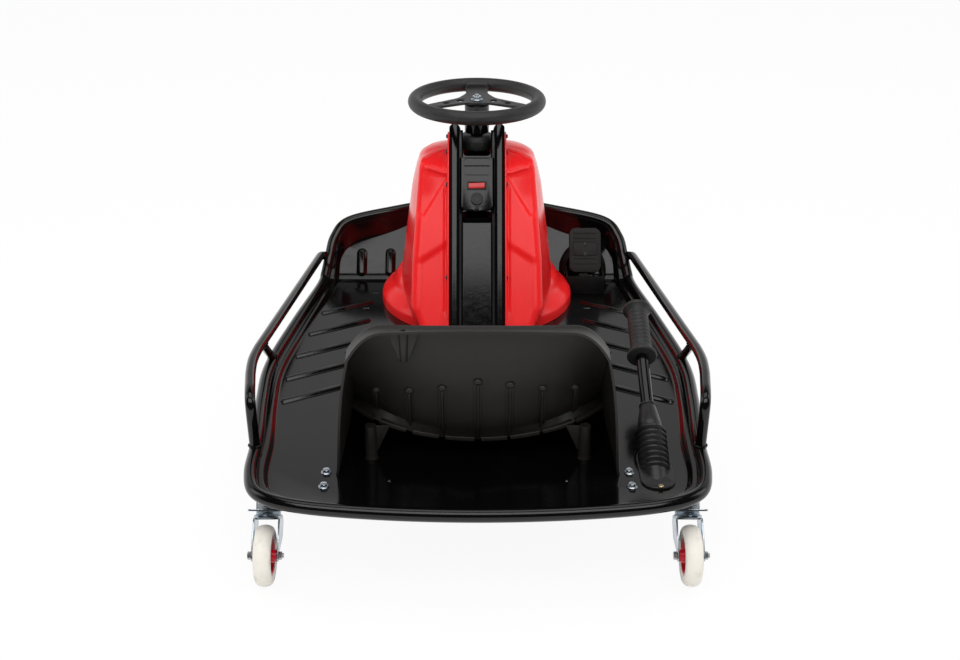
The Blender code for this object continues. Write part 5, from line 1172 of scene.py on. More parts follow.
def build_switch():
    """Power rocker, charge socket and its rubber cap."""
    place = panel_frame(SWITCH_DOWN, PANEL_FACE - 0.004) @ Matrix.Rotation(math.radians(-6.0), 4, "Y")
    reach = WINDOW_HALF[0] - RUN
    across = WINDOW_HALF[1] - RUN
    outline = [(-reach, 0.0062), (-reach * 0.5, 0.0049), (0.0, 0.0046), (reach * 0.5, 0.0049), (reach, 0.0062),
               (reach * 0.80, 0.0), (reach * 0.42, -0.0035), (0.0, -0.0045), (-reach * 0.42, -0.0035),
               (-reach * 0.80, 0.0)]
    rocker = moved(prism(outline, -across, across, "Y", soft=0.0005), rotation=place)
    piece("power_rocker", rocker, "red_rocker", "power_switch", ("switch_rocker",))
    flange = PORT_R - 0.0012
    depth = -PANEL_T - 0.010
    bore = PORT_BODY_R - 0.0016
    socket = ((0.0, depth), (PORT_BODY_R, depth), (PORT_BODY_R, GAP), (flange, GAP), (flange, PORT_FLANGE_T),
              (bore, PORT_FLANGE_T), (bore, depth + 0.004), (0.0022, depth + 0.004), (0.0022, -0.002), (0.0, -0.002))
    piece("charge_socket", moved(lathe(socket, 48, soft=0.0004), rotation=panel_frame(PORT_DOWN, PANEL_FACE)),
          "black_moulding", nodes=("charge_port",))
    low = -0.0022 + GAP
    over = PORT_HINGE_DOWN - PORT_DOWN
    disc = [(0.0, low), (PORT_R, low), (PORT_R, low + 0.0040)]
    disc += [(PORT_R - 0.0018 * (1 - math.cos(a)), low + 0.0040 + 0.0018 * math.sin(a))
             for a in (math.pi / 2 * k / 5 for k in range(1, 6))]
    disc += [(PORT_R - 0.0045, low + 0.0052), (PORT_R - 0.0050, low + 0.0060), (0.0, low + 0.0060)]
    strap = prism([(-0.0042, -0.0002), (0.0042, -0.0002), (0.0048, over - 0.006), (-0.0048, over - 0.006)],
                  low, low + 0.0026, soft=0.0006)
    hinge = prism(circle(0.0024, 16, (0.0, low + 0.0020)), -0.0042, 0.0042, "X", soft=0.0004)
    cap = together(lathe(disc, 48, centre=(0, over, 0)), strap, hinge)
    place = panel_frame(PORT_HINGE_DOWN, PANEL_FACE + PORT_FLANGE_T + 0.0022)
    piece("socket_cap", moved(cap, rotation=place), "black_rubber", "charge_cap", ("charge_cap",))


# Shroud
SHROUD_LEVELS = (
    # height, rear half width, side half width, reach ahead of the steering axis
    (0.120, 0.098, 0.130, 0.150), (0.175, 0.110, 0.150, 0.155), (0.210, 0.128, 0.1535, 0.155),
    (0.290, 0.126, 0.1440, 0.150), (0.400, 0.117, 0.1285, 0.125), (0.436, 0.113, 0.1200, 0.108),
    (0.457, 0.107, 0.1130, 0.090), (0.467, 0.093, 0.0990, 0.068), (0.4725, 0.070, 0.0760, 0.048),
    (0.474, 0.056, 0.0600, 0.036),
)
SHROUD_TOP_Z = SHROUD_LEVELS[-1][0]
SHROUD_JOIN_Y = STEER_Y + 0.045          # behind it the halves stand beside the spine, ahead of it they meet
SHROUD_SCREW_Z = (0.5050, 0.4784, 0.4231, 0.2654)
CREASE_Z = 0.446
SHOULDER_RISE = 0.33         # how fast the crease climbs toward the sides


def shroud_level(z):
    """Widths and reach of the tower at any height, between the stated levels."""
    for low, high in zip(SHROUD_LEVELS, SHROUD_LEVELS[1:]):
        if z <= high[0]:
            f = (z - low[0]) / (high[0] - low[0])
            return [a + (b - a) * f for a, b in zip(low[1:], high[1:])]
    return list(SHROUD_LEVELS[-1][1:])


def dish(x, z):
    """Depth of the facets pressed into the tower's rear faces, and of the flute beside the flange."""
    out = abs(x) - 0.064
    upper = 0.0042 * smooth((CREASE_Z - 0.004 - z) / 0.007) * smooth((z - 0.421 + out * 1.45) / 0.009)
    lower = 0.0038 * smooth((0.322 - out * 0.55 - z) / 0.010) * smooth((0.052 - out) / 0.014)
    flute = 0.0030 * math.exp(-((out + 0.003) / 0.0042) ** 2) * smooth((0.440 - z) / 0.015)
    return upper + lower + flute


def shroud_section(z):
    """Plan of the tower at one height, as a closed ring from the rear middle."""
    rear_half, side_half, reach = shroud_level(z)
    rear = spine_y(min(z, CREASE_Z)) + 0.006 + max(0.0, z - CREASE_Z) * 1.8
    corner = min(0.017, rear_half * 0.4)
    right = []
    for k in range(1, 45):
        x = (rear_half - corner) * k / 44
        right.append((x, rear + dish(x, z)))
    for k in range(1, 9):
        angle = -math.pi / 2 + math.pi / 2 * k / 8
        x = rear_half - corner + corner * math.cos(angle)
        fade = dish(rear_half - corner, z) * (1 - k / 8)
        right.append((x, rear + corner + corner * math.sin(angle) + fade))
    for k in range(1, 11):
        f = k / 10
        right.append((rear_half + (side_half - rear_half) * math.sin(f * math.pi / 2),
                      rear + corner + (STEER_Y - rear - corner) * f))
    for k in range(1, 24):
        angle = math.pi / 2 * k / 24
        right.append((side_half * math.cos(angle) ** 0.80, STEER_Y + reach * math.sin(angle) ** 0.92))
    ring = [(0.0, rear), *right, (0.0, STEER_Y + reach)] + [(-x, y) for x, y in reversed(right)]
    fade = smooth((z - 0.395) / (CREASE_Z - 0.395)) * smooth((SHROUD_TOP_Z - z) / (SHROUD_TOP_Z - CREASE_Z))
    return [(x, y, z + SHOULDER_RISE * fade * min(0.040, max(0.0, abs(x) - 0.066)) * smooth((STEER_Y - y) / 0.06))
            for x, y in ring]


def build_shroud():
    """Two moulded halves: tower and dome in one skin, a bolt flange and its screws."""
    heights = [0.120, 0.150, 0.175, 0.192] + [0.205 + 0.0040 * k for k in range(0, 60)]
    heights += [0.4435, CREASE_Z - 0.0008, CREASE_Z + 0.0008, 0.450, 0.454, 0.458, 0.462, 0.466, 0.469, 0.471,
                0.4725, 0.4735, SHROUD_TOP_Z]
    tower = loft([shroud_section(z) for z in heights])
    profile = spline([(DOME_R * share, height, 0.0) for share, height in (
        (1.0, 0.100), (1.0, 0.130), (1.0, 0.160), (0.974, 0.171), (0.887, 0.188), (0.805, 0.212), (0.615, 0.235),
        (0.308, 0.245), (0.0, 0.247))], 60)
    dome = lathe([(0.0, 0.100)] + [(max(0.0, p.x), p.y) for p in profile[:-1]] + [(0.0, 0.247)], 160,
                 centre=(0, STEER_Y, 0))
    bm = combined(tower, dome, "UNION")
    edge = SPINE_HALF + GAP

    def trim(point, normal):
        geometry = list(bm.verts) + list(bm.edges) + list(bm.faces)
        return bmesh.ops.bisect_plane(bm, geom=geometry, dist=1e-7, plane_co=point, plane_no=normal)

    for point, normal in (((0, 0, FLOOR_Z + GAP), (0, 0, 1)), ((0, TOE_Y, FLOOR_Z + GAP), (0, -TOE_SLOPE, 1)),
                          ((GAP / 2, 0, 0), (1, 0, 0)), ((edge, 0, 0), (1, 0, 0)),
                          ((0, SHROUD_JOIN_Y, 0), (0, 1, 0))):
        trim(point, normal)
    doomed = []
    for face in bm.faces:
        c = face.calc_center_median()
        behind = c.y < SHROUD_JOIN_Y
        if (c.z < FLOOR_Z + GAP or c.z < FLOOR_Z + GAP + (c.y - TOE_Y) * TOE_SLOPE or c.x < GAP / 2
                or (behind and c.x < edge)):
            doomed.append(face)
    bmesh.ops.delete(bm, geom=doomed, context="FACES")
    bm = worked(walled(bm, 0.003, even=False), ("BEVEL", {"width": 0.0022, "segments": 3, "limit_method": "ANGLE",
                                              "angle_limit": math.radians(24), "use_clamp_overlap": True}))
    low = FLOOR_Z + 0.004
    high = SPINE_EAR_Z - 0.018
    strip = filleted([(spine_y(low) - 0.004, low), (spine_y(high) - 0.004, high), (spine_y(high) + 0.020, high),
                      (spine_y(low) + 0.032, low)], 0.006, 5)
    flange = prism(strip, edge, edge + 0.0028, "X", soft=0.0009)
    right = together(bm, flange)
    left = flipped(right)
    piece("wheel_shroud_right", right, "red_moulding", nodes=("shroud_right",), sharp=28.0)
    piece("wheel_shroud_left", left, "red_moulding", nodes=("shroud_left",), sharp=28.0)
    for side, word in SIDES:
        places = [Matrix.Translation((side * (edge + 0.0028), spine_y(z) + 0.004, z))
                  @ Matrix.Rotation(side * math.pi / 2, 4, "Y") for z in SHROUD_SCREW_Z]
        piece("shroud_screws_" + word, repeated(button_screw(0.0042, 0.0030), places), "black_moulding")


# Seat
SEAT_ROWS = 71
SEAT_CORNER = 40             # profile row where the cushion turns into the back
SEAT_COLUMNS = 48
SEAT_HALF = 0.208
SEAT_SKIRT_HALF = 0.229
SEAT_SIDE_LIFT = 0.034
SEAT_WRAP_FOOT = 0.105
SEAT_WRAP_TOP = 0.018
SEAT_BACK_RISE = 0.250
SEAT_RIBS = ((-0.165, 0.268), (-0.110, 0.281), (-0.057, 0.292), (0.0, 0.305), (0.051, 0.298), (0.103, 0.288),
             (0.157, 0.277))             # place across and height of the top
SEAT_LEDGE_HALF = 0.212
POST_X = 0.175
POST_Y = -0.345
SOCKET_X = -0.116
SEAT_LEDGE = ((0.0, -0.3460, 0.1840), (0.053, -0.3440, 0.1868), (0.106, -0.3400, 0.1948), (0.160, -0.3290, 0.2080),
              (0.207, -0.2950, 0.2180))
POST_TOP_DROP = 0.011


def seat_profile():
    """Middle of the seat from its front edge back and up to the top of the back, as (y, z)."""
    front = SEAT_FRONT_Y
    points = [(front, 0.040), (front - 0.028, 0.058), (front - 0.090, 0.057), (front - 0.190, 0.047),
              (front - 0.290, 0.041), (front - 0.345, 0.040), (front - 0.372, 0.068), (front - 0.383, 0.125),
              (front - 0.389, 0.190), (front - 0.391, SEAT_BACK_RISE)]
    return [(p.x, p.y) for p in spline([(y, FLOOR_Z + z, 0) for y, z in points], SEAT_ROWS)]


def arch_height(x):
    """Top edge of the seat's back above the floor, over the width."""
    f = min(1.0, abs(x) / SEAT_HALF)
    return SEAT_BACK_RISE - 0.004 * f ** 2 - 0.046 * (max(0.0, f - 0.70) / 0.30) ** 2.4


def seat_point(u, row, profile):
    """Point of the seat's skin: u from -1 to 1 across, row along the profile."""
    low = min(int(row), len(profile) - 2)
    f = row - low
    y = profile[low][0] * (1 - f) + profile[low + 1][0] * f
    z = profile[low][1] * (1 - f) + profile[low + 1][1] * f
    last = len(profile) - 1
    bow = abs(u) ** 2.4
    start = SEAT_CORNER - 20
    back = min(1.0, max(0.0, (row - start) / (last - start)) * 1.9)
    climb = max(0.0, (row - SEAT_CORNER) / (last - SEAT_CORNER))
    top = arch_height(u * SEAT_HALF)
    rise = (z - FLOOR_Z) * (top / SEAT_BACK_RISE * back + 1.0 - back)
    wrap = SEAT_WRAP_FOOT + (SEAT_WRAP_TOP - SEAT_WRAP_FOOT) * climb
    lift = SEAT_SIDE_LIFT * bow * (1.0 - climb * back) * smooth(row / 22)
    return Vector((u * SEAT_HALF, y + wrap * bow * back, FLOOR_Z + rise + lift))


def seat_foot(u, row, profile, on_side):
    """Where the skin's edge ends: on the floor round the cushion, in the rear plane at the back."""
    last = len(profile) - 1
    if not on_side:
        if row == 0:
            return Vector((u * SEAT_SKIRT_HALF, SEAT_FRONT_Y + 0.010, SEAT_Z))
        return Vector((u * (SEAT_HALF - 0.002), SEAT_REAR_Y, FLOOR_Z + arch_height(u * SEAT_HALF) + 0.005))
    side = 1 if u > 0 else -1
    if row <= SEAT_CORNER:
        front = profile[0][0]
        f = (front - profile[row][0]) / (front - profile[SEAT_CORNER][0])
        y = SEAT_FRONT_Y + 0.010 + (SEAT_REAR_Y - SEAT_FRONT_Y - 0.010) * f
        return Vector((side * SEAT_SKIRT_HALF, y, SEAT_Z))
    f = (row - SEAT_CORNER) / (last - SEAT_CORNER)
    top = arch_height(SEAT_HALF) + 0.005
    taper = SEAT_SKIRT_HALF - SEAT_HALF + 0.002
    width = SEAT_SKIRT_HALF - taper * (0.35 * f ** 0.5 + 0.65 * f ** 3)
    return Vector((side * width, SEAT_REAR_Y, FLOOR_Z + top * f))


def seat_skin(profile):
    """Dished cushion, wrapped back, and the rim that rolls over and runs down to the floor."""
    columns = [-1 + 2 * j / SEAT_COLUMNS for j in range(SEAT_COLUMNS + 1)]
    bm = bmesh.new()
    grid = [[bm.verts.new(seat_point(u, k, profile)) for u in columns] for k in range(SEAT_ROWS)]
    for low, high in zip(grid, grid[1:]):
        for j in range(SEAT_COLUMNS):
            bm.faces.new((low[j], low[j + 1], high[j + 1], high[j]))
    last = SEAT_ROWS - 1
    edge = [(0, j) for j in range(SEAT_COLUMNS)] + [(k, SEAT_COLUMNS) for k in range(last)]
    edge += [(last, j) for j in range(SEAT_COLUMNS, 0, -1)] + [(k, 0) for k in range(last, 0, -1)]
    rings = [[grid[k][j] for k, j in edge]]
    roll = bpy.context.scene.kart_shape.rim_roll
    for share, rise in ((0.04, 0.55), (0.09, 0.90), (0.15, 1.0), (0.22, 0.80), (0.32, 0.45), (0.60, 0.15),
                        (1.0, 0.0)):
        ring = []
        for k, j in edge:
            start = grid[k][j].co
            foot = seat_foot(columns[j], k, profile, j in (0, SEAT_COLUMNS))
            lift = Vector((0, 0, roll)) if k > 0 else Vector((0, roll, 0))
            ring.append(bm.verts.new(start.lerp(foot, share) + lift * rise))
        rings.append(ring)
    for near, far in zip(rings, rings[1:]):
        for n in range(len(edge)):
            m = (n + 1) % len(edge)
            bm.faces.new((near[m], near[n], far[n], far[m]))
    bmesh.ops.recalc_face_normals(bm, faces=bm.faces)
    middle = grid[16][SEAT_COLUMNS // 2]
    if middle.link_faces[0].normal.z < 0:
        bmesh.ops.reverse_faces(bm, faces=bm.faces)
    return bm


def build_seat():
    """Moulded bucket seat with its rear ribs, ledge and flag socket."""
    profile = seat_profile()
    shell = walled(seat_skin(profile), 0.004, even=False)
    parts = [seat_rib(x, top, profile) for x, top in SEAT_RIBS] + [seat_ledge(profile), flag_socket()]
    bore = lathe(((0.0, 0.30), (0.0042, 0.30), (0.0042, 0.45), (0.0, 0.45)), 28,
                 centre=(SOCKET_X, SEAT_REAR_Y + 0.0085, 0))
    piece("bucket_seat", together(cut(shell, bore), *parts), "charcoal_moulding", nodes=("seat_shell",), sharp=40.0)
    for side, word in SIDES:
        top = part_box("seat_post_" + word)[1][2] - POST_TOP_DROP
        post = lathe(((0.0, SEAT_Z), (0.0115, SEAT_Z), (0.0100, SEAT_Z + 0.006), (0.0095, top), (0.0, top)), 40,
                     centre=(side * POST_X, POST_Y, 0), soft=0.0006)
        web = filleted([(0.004, top), (0.032, top), (0.012, SEAT_Z + 0.016), (0.004, SEAT_Z + 0.006)], 0.003, 4)
        web = [(side * (POST_X - a), z) for a, z in web]
        gusset = prism(web, POST_Y - 0.0015, POST_Y + 0.0015, "Y", soft=0.0006)
        piece("post_" + word, together(post, gusset), "charcoal_moulding", nodes=("seat_post_" + word,))


def seat_rib(x, top, profile):
    """Upright rib on the back: a narrow ridge on a flat strip, with a round bulge at its top."""
    u = x / SEAT_HALF
    path = [seat_point(u, SEAT_CORNER + 1.0 + k * 0.4, profile) for k in range(75)]
    path = [p + Vector((0, -0.0042, 0)) for p in path if p.z < top]
    count = len(path)
    sizes = [1.0] * (count - 3) + [0.9, 0.7, 0.4]
    ridge = filleted([(-0.0030, -0.003), (0.0030, -0.003), (0.0016, 0.0062), (-0.0016, 0.0062)], 0.0012, 3)
    strip = filleted([(-0.0072, -0.003), (0.0072, -0.003), (0.0064, 0.0012), (-0.0064, 0.0012)], 0.0006, 2)
    bulge = bmesh.new()
    bmesh.ops.create_uvsphere(bulge, u_segments=24, v_segments=14, radius=1.0)
    bmesh.ops.scale(bulge, vec=(0.0078, 0.0048, 0.0055), verts=bulge.verts)
    return together(upright(path, ridge, sizes), upright(path, strip, sizes),
                    moved(bulge, path[-1] + Vector((0, -0.0014, 0))))


def upright(path, section, sizes):
    """Section carried up a path with its width level and its height toward the rear."""
    rings = []
    for k, point in enumerate(path):
        along = (path[min(k + 1, len(path) - 1)] - path[max(k - 1, 0)]).normalized()
        out = Vector((0, -along.z, along.y))
        rings.append([point + Vector((a * sizes[k], 0, 0)) + out * b * sizes[k] for a, b in section])
    return loft(rings)


def seat_ledge(profile):
    """Ledge along the foot of the back, parted by the ribs, and the skin that runs down to it."""
    line = spline([(x, y, z) for x, y, z in SEAT_LEDGE], 41)
    line = [Vector((-p.x, p.y, p.z)) for p in reversed(line[1:])] + line
    skirt = []
    for p in line:
        above = seat_point(max(-0.985, min(0.985, p.x / SEAT_HALF)), SEAT_CORNER + 5.0, profile)
        foot = p + Vector((0, 0.003, -0.002))
        head = Vector((above.x, above.y - 0.0035, max(above.z, foot.z + 0.004)))
        skirt.append([foot, foot + Vector((0, -0.0035, 0)), head + Vector((0, -0.001, 0)),
                      head + Vector((0, 0.002, 0))])
    parts = [loft(skirt)]
    section = filleted([(-0.0055, -0.0040), (0.0055, -0.0040), (0.0055, 0.0036), (-0.0055, 0.0036)], 0.0020, 3)
    bounds = [-SEAT_LEDGE_HALF, *(x for x, _ in SEAT_RIBS), SEAT_LEDGE_HALF]
    for low, high in zip(bounds, bounds[1:]):
        part = [p for p in line if low + 0.0016 < p.x < high - 0.0016]
        parts.append(sweep(part, section, up=(0, 0, 1)))
    return together(*parts)


def flag_socket():
    """Tapered flag socket in the seat's upper left, on a web that narrows downward."""
    x = SOCKET_X
    z = FLOOR_Z + arch_height(x) + 0.002
    rear = SEAT_REAR_Y + 0.004
    webs = loft([[(x - 0.027, rear + 0.010, z), (x + 0.027, rear + 0.010, z), (x + 0.027, rear + 0.020, z),
                  (x - 0.027, rear + 0.020, z)],
                 [(x - 0.009, rear + 0.009, z - 0.050), (x + 0.009, rear + 0.009, z - 0.050),
                  (x + 0.009, rear + 0.020, z - 0.050), (x - 0.009, rear + 0.020, z - 0.050)]])
    barrel = loft([[(x + a, rear + 0.010 + b, z) for a, b in circle(0.0078, 32)],
                   [(x + a, rear + 0.012 + b, z - 0.054) for a, b in circle(0.0066, 32)]])
    return together(softened(webs, 0.0015, 3), softened(barrel, 0.0010, 2))


# Steering wheel
SPOKE_T = 0.004
SPOKE_HOLES = ((0.0321, -0.0060, 0.0078), (0.0600, -0.0240, 0.0066))     # across, forward, radius


def build_wheel():
    """Padded rim, flat three-armed spokes, the block on the front arm and the centre nut."""
    path = [(x, y + STEER_Y, STEERING_Z - 0.0011) for x, y in circle(STEERING_R, 96)]
    section = circle(STEERING_GRIP_R, 28)
    piece("wheel_rim", sweep(path, section, closed=True, up=(0, 0, 1)), "black_rubber", "steering", ("steering_rim",))
    plate_z = STEERING_Z - 0.003
    reach = STEERING_R - STEERING_GRIP_R - 2 * GAP
    hub = prism(circle(0.0235, 48), plate_z, plate_z + SPOKE_T)
    blank = [(-0.0200, reach), (-0.0215, 0.046), (-0.0360, 0.0130), (-0.0984, -0.0345), (-0.0860, -0.0560),
             (-0.0230, -0.0230), (-0.0100, -0.0270)]
    blank = filleted(blank + [(-x, y) for x, y in reversed(blank)], 0.009, 6)
    hub = combined(hub, prism(blank, plate_z, plate_z + SPOKE_T), "UNION")
    for side in (1, -1):
        for x, y, radius in SPOKE_HOLES:
            hub = cut(hub, prism(circle(radius, 32, (side * x, y)), plate_z - 0.01, plate_z + 0.02))
    hub = moved(softened(hub, 0.0007, 2), (0, STEER_Y, 0))
    piece("wheel_spokes", hub, "black_moulding", "steering", ("steering_spokes",))
    block = prism(rounded_box(0.0235, 0.0125, 0.005, 6, (0, STEER_Y + 0.1075)), STEERING_Z - 0.0115,
                  STEERING_Z + 0.0080, soft=0.003)
    piece("wheel_block", block, "black_rubber", "steering")
    nut = hex_bolt(0.0092, 0.0118, 0.0022, 0.0072, 0.0044, 0.0034)
    piece("wheel_nut", moved(nut, (0, STEER_Y, plate_z + SPOKE_T + GAP)), "bright_zinc", "steering",
          ("steering_nut",))


# Drive wheel
def build_drive():
    """Tyre and its rim."""
    half = 0.0275
    bead_r = TYRE_R - 0.046
    crown = []
    for k in range(25):
        angle = math.pi * k / 24
        crown.append((bead_r + 0.012 + 0.034 * math.sin(angle) ** 0.8, half * math.cos(angle)))
    profile = [(bead_r, half * 0.72), *crown, (bead_r, -half * 0.72)]
    tyre = lathe(profile, 128, "X", centre=(0, STEER_Y, TYRE_R), ring=True)
    piece("drive_wheel_tyre", tyre, "tyre_rubber", "drive_wheel", ("drive_tyre",))
    out = bead_r * math.cos(math.pi / 32) - GAP
    seat_w = half * 0.72
    rim = ((out, seat_w - 0.004), (out, -seat_w + 0.004), (out - 0.004, -seat_w + 0.004), (out - 0.004, -0.004),
           (0.019, -0.006), (0.019, -0.0355), (0.0063, -0.0355), (0.0063, 0.0355), (0.019, 0.0355),
           (0.019, 0.006), (out - 0.004, 0.004), (out - 0.004, seat_w - 0.004))
    piece("drive_wheel_rim", lathe(rim, 80, "X", centre=(0, STEER_Y, TYRE_R), ring=True, soft=0.0012), "alloy",
          "drive_wheel", ("drive_rim",))


# Lever and boot
def build_lever():
    """Hand lever with its grooved rubber grip, and the ribbed boot at its foot."""
    sides = bpy.context.scene.kart_shape.tube_sides
    grooves = bpy.context.scene.kart_shape.grip_grooves
    turn = lever_frame()
    rod = lathe(((0.0, 0.016), (LEVER_R, 0.016), (LEVER_R, LEVER_LENGTH), (0.0, LEVER_LENGTH)), sides + 8)
    piece("hand_lever", moved(rod, rotation=turn), "gloss_black_paint", "drift_bar", ("drift_lever",))
    start = LEVER_LENGTH - 0.116
    end = LEVER_LENGTH + 0.003
    bore = LEVER_R + GAP
    profile = [(bore, start), (0.0245, start), (0.0265, start + 0.002), (0.0265, start + 0.005),
               (0.0245, start + 0.007), (0.0195, start + 0.010), (0.0185, start + 0.017)]
    span = 0.082
    for k in range(grooves):
        at = start + 0.019 + span * (k + 0.5) / max(1, grooves)
        profile += [(0.0187, at - 0.0022), (0.0176, at - 0.0010), (0.0176, at + 0.0010), (0.0187, at + 0.0022)]
    profile += [(0.0185, end - 0.015), (0.0225, end - 0.010), (0.0255, end - 0.007), (0.0255, end - 0.003),
                (0.0225, end), (0.0, end + 0.002)]
    grip = lathe(profile, 48, soft=0.0008)
    piece("lever_handgrip", moved(grip, rotation=turn), "black_rubber", "drift_bar", ("lever_grip",))
    build_boot(turn)


def build_boot(turn):
    """Bellows of the lever: eight folds, a neck that hugs the lever and a foot on the floor."""
    root = 0.021
    neck = 0.119
    first = 0.030
    folds = 8
    step = (neck - first) / folds
    profile = [(0.0, -0.032, 0), (0.012, -0.028, 0), (0.019, -0.012, 0), (root, 0.008, 0), (root, first - 0.004, 0)]
    points = [(p.x, p.y) for p in spline(profile, 26)]
    for k in range(folds * 12 + 1):
        fold = (k / 12) % 1.0
        bulge = (0.5 - 0.5 * math.cos(2 * math.pi * fold)) ** 0.8
        points.append((root - 0.0006 + 0.0053 * bulge, first + step * k / 12))
    tip = LEVER_R + GAP + 0.0022
    points += [(p.x, p.y) for p in spline([(root, neck + 0.003, 0), (root, neck + 0.010, 0),
                                           (tip + 0.004, neck + 0.030, 0), (tip + 0.001, 0.165, 0),
                                           (tip, 0.170, 0)], 16)]
    points += [(tip + 0.0012, 0.1705), (tip + 0.0012, 0.173), (LEVER_R + GAP, 0.173)]
    outer = moved(lathe([(max(0.0, r), z) for r, z in points] + [(0.0, 0.173)], 56), rotation=turn)
    low, high = lever_slot()
    pad = rounded_box(0.0275, (high - low) / 2 + 0.016, 0.026, 10, (LEVER_X, (low + high) / 2))
    bm = combined(outer, prism(pad, SEAT_Z - 0.002, SEAT_Z + 0.003, soft=0.0010), "UNION")
    inner = root - 0.0022
    bore = LEVER_R + GAP
    hollow = lathe(((0.0, -0.026), (0.010, -0.023), (0.016, -0.010), (inner, 0.010), (inner, neck),
                    (bore, neck + 0.030), (bore, 0.20), (0.0, 0.20)), 40)
    ground = prism([(-0.6, -0.05), (0.2, -0.05), (0.2, FLOOR_Z + GAP), (-0.6, FLOOR_Z + GAP)], 0.2, 0.4, "X")
    bm = cut(bm, moved(hollow, rotation=turn), ground)
    boot = piece("bellows_boot", bm, "bellows_rubber", nodes=("lever_boot",), ride=False,
                 sharp=50.0)
    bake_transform(boot)
    screw = moved(cross_screw(0.0046, 0.0026), (LEVER_X + 0.002, low - 0.012, SEAT_Z + 0.003))
    piece("boot_screw", screw, "brass")


# Casters
def build_casters():
    """Plates, forks, axle bolts, treads and hubs of both casters."""
    for side, word in SIDES:
        frame_here = tilted_caster(side)
        axle = frame_here @ Matrix.Translation((0, -CASTER_TRAIL, -CASTER_DROP))
        piece("swivel_plate_" + word, moved(caster_plate(), rotation=frame_here), "zinc_plate", "drift_bar",
              ("caster_plate_" + word,))
        piece("swivel_fork_" + word, moved(caster_fork(), rotation=frame_here), "zinc_plate", "caster_fork_" + word,
              ("caster_fork_" + word,))
        piece("axle_bolt_" + word, moved(caster_bolt(), rotation=axle), "plain_steel", "caster_fork_" + word,
              ("caster_bolt_" + word,))
        tread, hub = caster_wheel()
        piece("caster_tyre_" + word, moved(tread, rotation=axle), "white_tread", "caster_wheel_" + word,
              ("caster_tread_" + word,))
        piece("caster_centre_" + word, moved(hub, rotation=axle), "red_hub", "caster_wheel_" + word,
              ("caster_hub_" + word,))


def caster_plate():
    """Square plate with the saddle that holds the drift bar."""
    plate = prism(rounded_box(CASTER_PLATE_HALF, CASTER_PLATE_HALF, 0.007, 6), 0.0, CASTER_PLATE_T)
    saddle = [(-0.028, 0.002), (0.012, 0.002), (BAR_R - CASTER_SET, CASTER_STAND),
              (-BAR_R - CASTER_SET, CASTER_STAND)]
    bm = combined(plate, prism(saddle, -0.016, 0.016, "X"), "UNION")
    bore = lathe(((0.0, -0.03), (BAR_R + GAP, -0.03), (BAR_R + GAP, 0.03), (0.0, 0.03)), 48, "X",
                 centre=(0, -CASTER_SET, CASTER_STAND))
    bm = cut(bm, bore, prism(circle(0.0056, 28), -0.01, 0.007))
    return softened(bm, 0.0006)


def caster_fork():
    """Raceway, crown sheet and two trailing legs, pressed from one sheet."""
    crown_top = -GAP - CASTER_RACE_H
    race_r = CASTER_RACE_R
    race = [(0.0, crown_top - CASTER_SHEET), (race_r - 0.002, crown_top - CASTER_SHEET), (race_r, crown_top - 0.0005),
            (race_r, crown_top + 0.004), (race_r - 0.003, crown_top + 0.0052), (race_r - 0.004, -GAP), (0.0, -GAP)]
    bm = lathe(race, 56, soft=0.0008)
    half = CASTER_FORK_HALF
    crown = prism(rounded_box(half, 0.024, 0.008, 5, (0, -0.002)), crown_top - CASTER_SHEET, crown_top)
    bm = combined(bm, crown, "UNION")
    leg = [(-0.025, crown_top - 0.006), (-0.022, crown_top), (0.018, crown_top), (0.021, crown_top - 0.006),
           (0.014, -0.042)]
    for k in range(13):
        angle = math.radians(30) - math.pi * k / 12
        leg.append((-CASTER_TRAIL + CASTER_EYE_R * math.cos(angle), -CASTER_DROP + CASTER_EYE_R * math.sin(angle)))
    leg.append((-0.033, -0.040))
    for side in (1, -1):
        low, high = sorted((side * (half - CASTER_SHEET), side * half))
        bm = combined(bm, prism(filleted(leg, 0.004, 4), low, high, "X"), "UNION")
    bm = cut(bm, prism(circle(0.0043, 24, (-CASTER_TRAIL, -CASTER_DROP)), -0.04, 0.04, "X"))
    pin = lathe(((0.0, crown_top), (0.0052, crown_top), (0.0052, 0.0038), (0.0, 0.005)), 28, soft=0.0005)
    return together(softened(bm, 0.0005), pin)


def caster_bolt():
    """Axle bolt: hexagon head on one side, nut and thread end on the other."""
    face = CASTER_FORK_HALF + GAP
    shank = lathe(((0.0, -face), (0.004, -face), (0.004, face + 0.008), (0.0, face + 0.008)), 28, "X", soft=0.0003)
    head = moved(hex_bolt(0.0066, 0.0, 0.0, 0.0060), (0, 0, 0), Matrix.Rotation(-math.pi / 2, 4, "Y"))
    nut = moved(hex_bolt(0.0066, 0.0, 0.0, 0.0052), (0, 0, 0), Matrix.Rotation(math.pi / 2, 4, "Y"))
    return together(shank, moved(head, (-face, 0, 0)), moved(nut, (face, 0, 0)))


def caster_wheel():
    """Tread and hub, turned about X."""
    half = CASTER_WHEEL_W / 2
    tread = [(CASTER_HUB_R + GAP, half * 0.86)]
    for k in range(25):
        angle = math.pi * k / 24
        tread.append((CASTER_HUB_R + 0.006 + (CASTER_WHEEL_R - CASTER_HUB_R - 0.006) * math.sin(angle) ** 0.72,
                      half * math.cos(angle)))
    tread.append((CASTER_HUB_R + GAP, -half * 0.86))
    reach = CASTER_FORK_HALF - CASTER_SHEET - GAP
    side = ((CASTER_HUB_R, half * 0.84), (CASTER_HUB_R - 0.003, half * 0.84), (CASTER_HUB_R - 0.006, half * 0.40),
            (0.0125, half * 0.50), (0.0095, reach), (0.0043, reach))
    profile = side + tuple((r, -x) for r, x in reversed(side))
    return lathe(tread, 88, "X", ring=True), lathe(profile, 64, "X", ring=True, soft=0.0009)


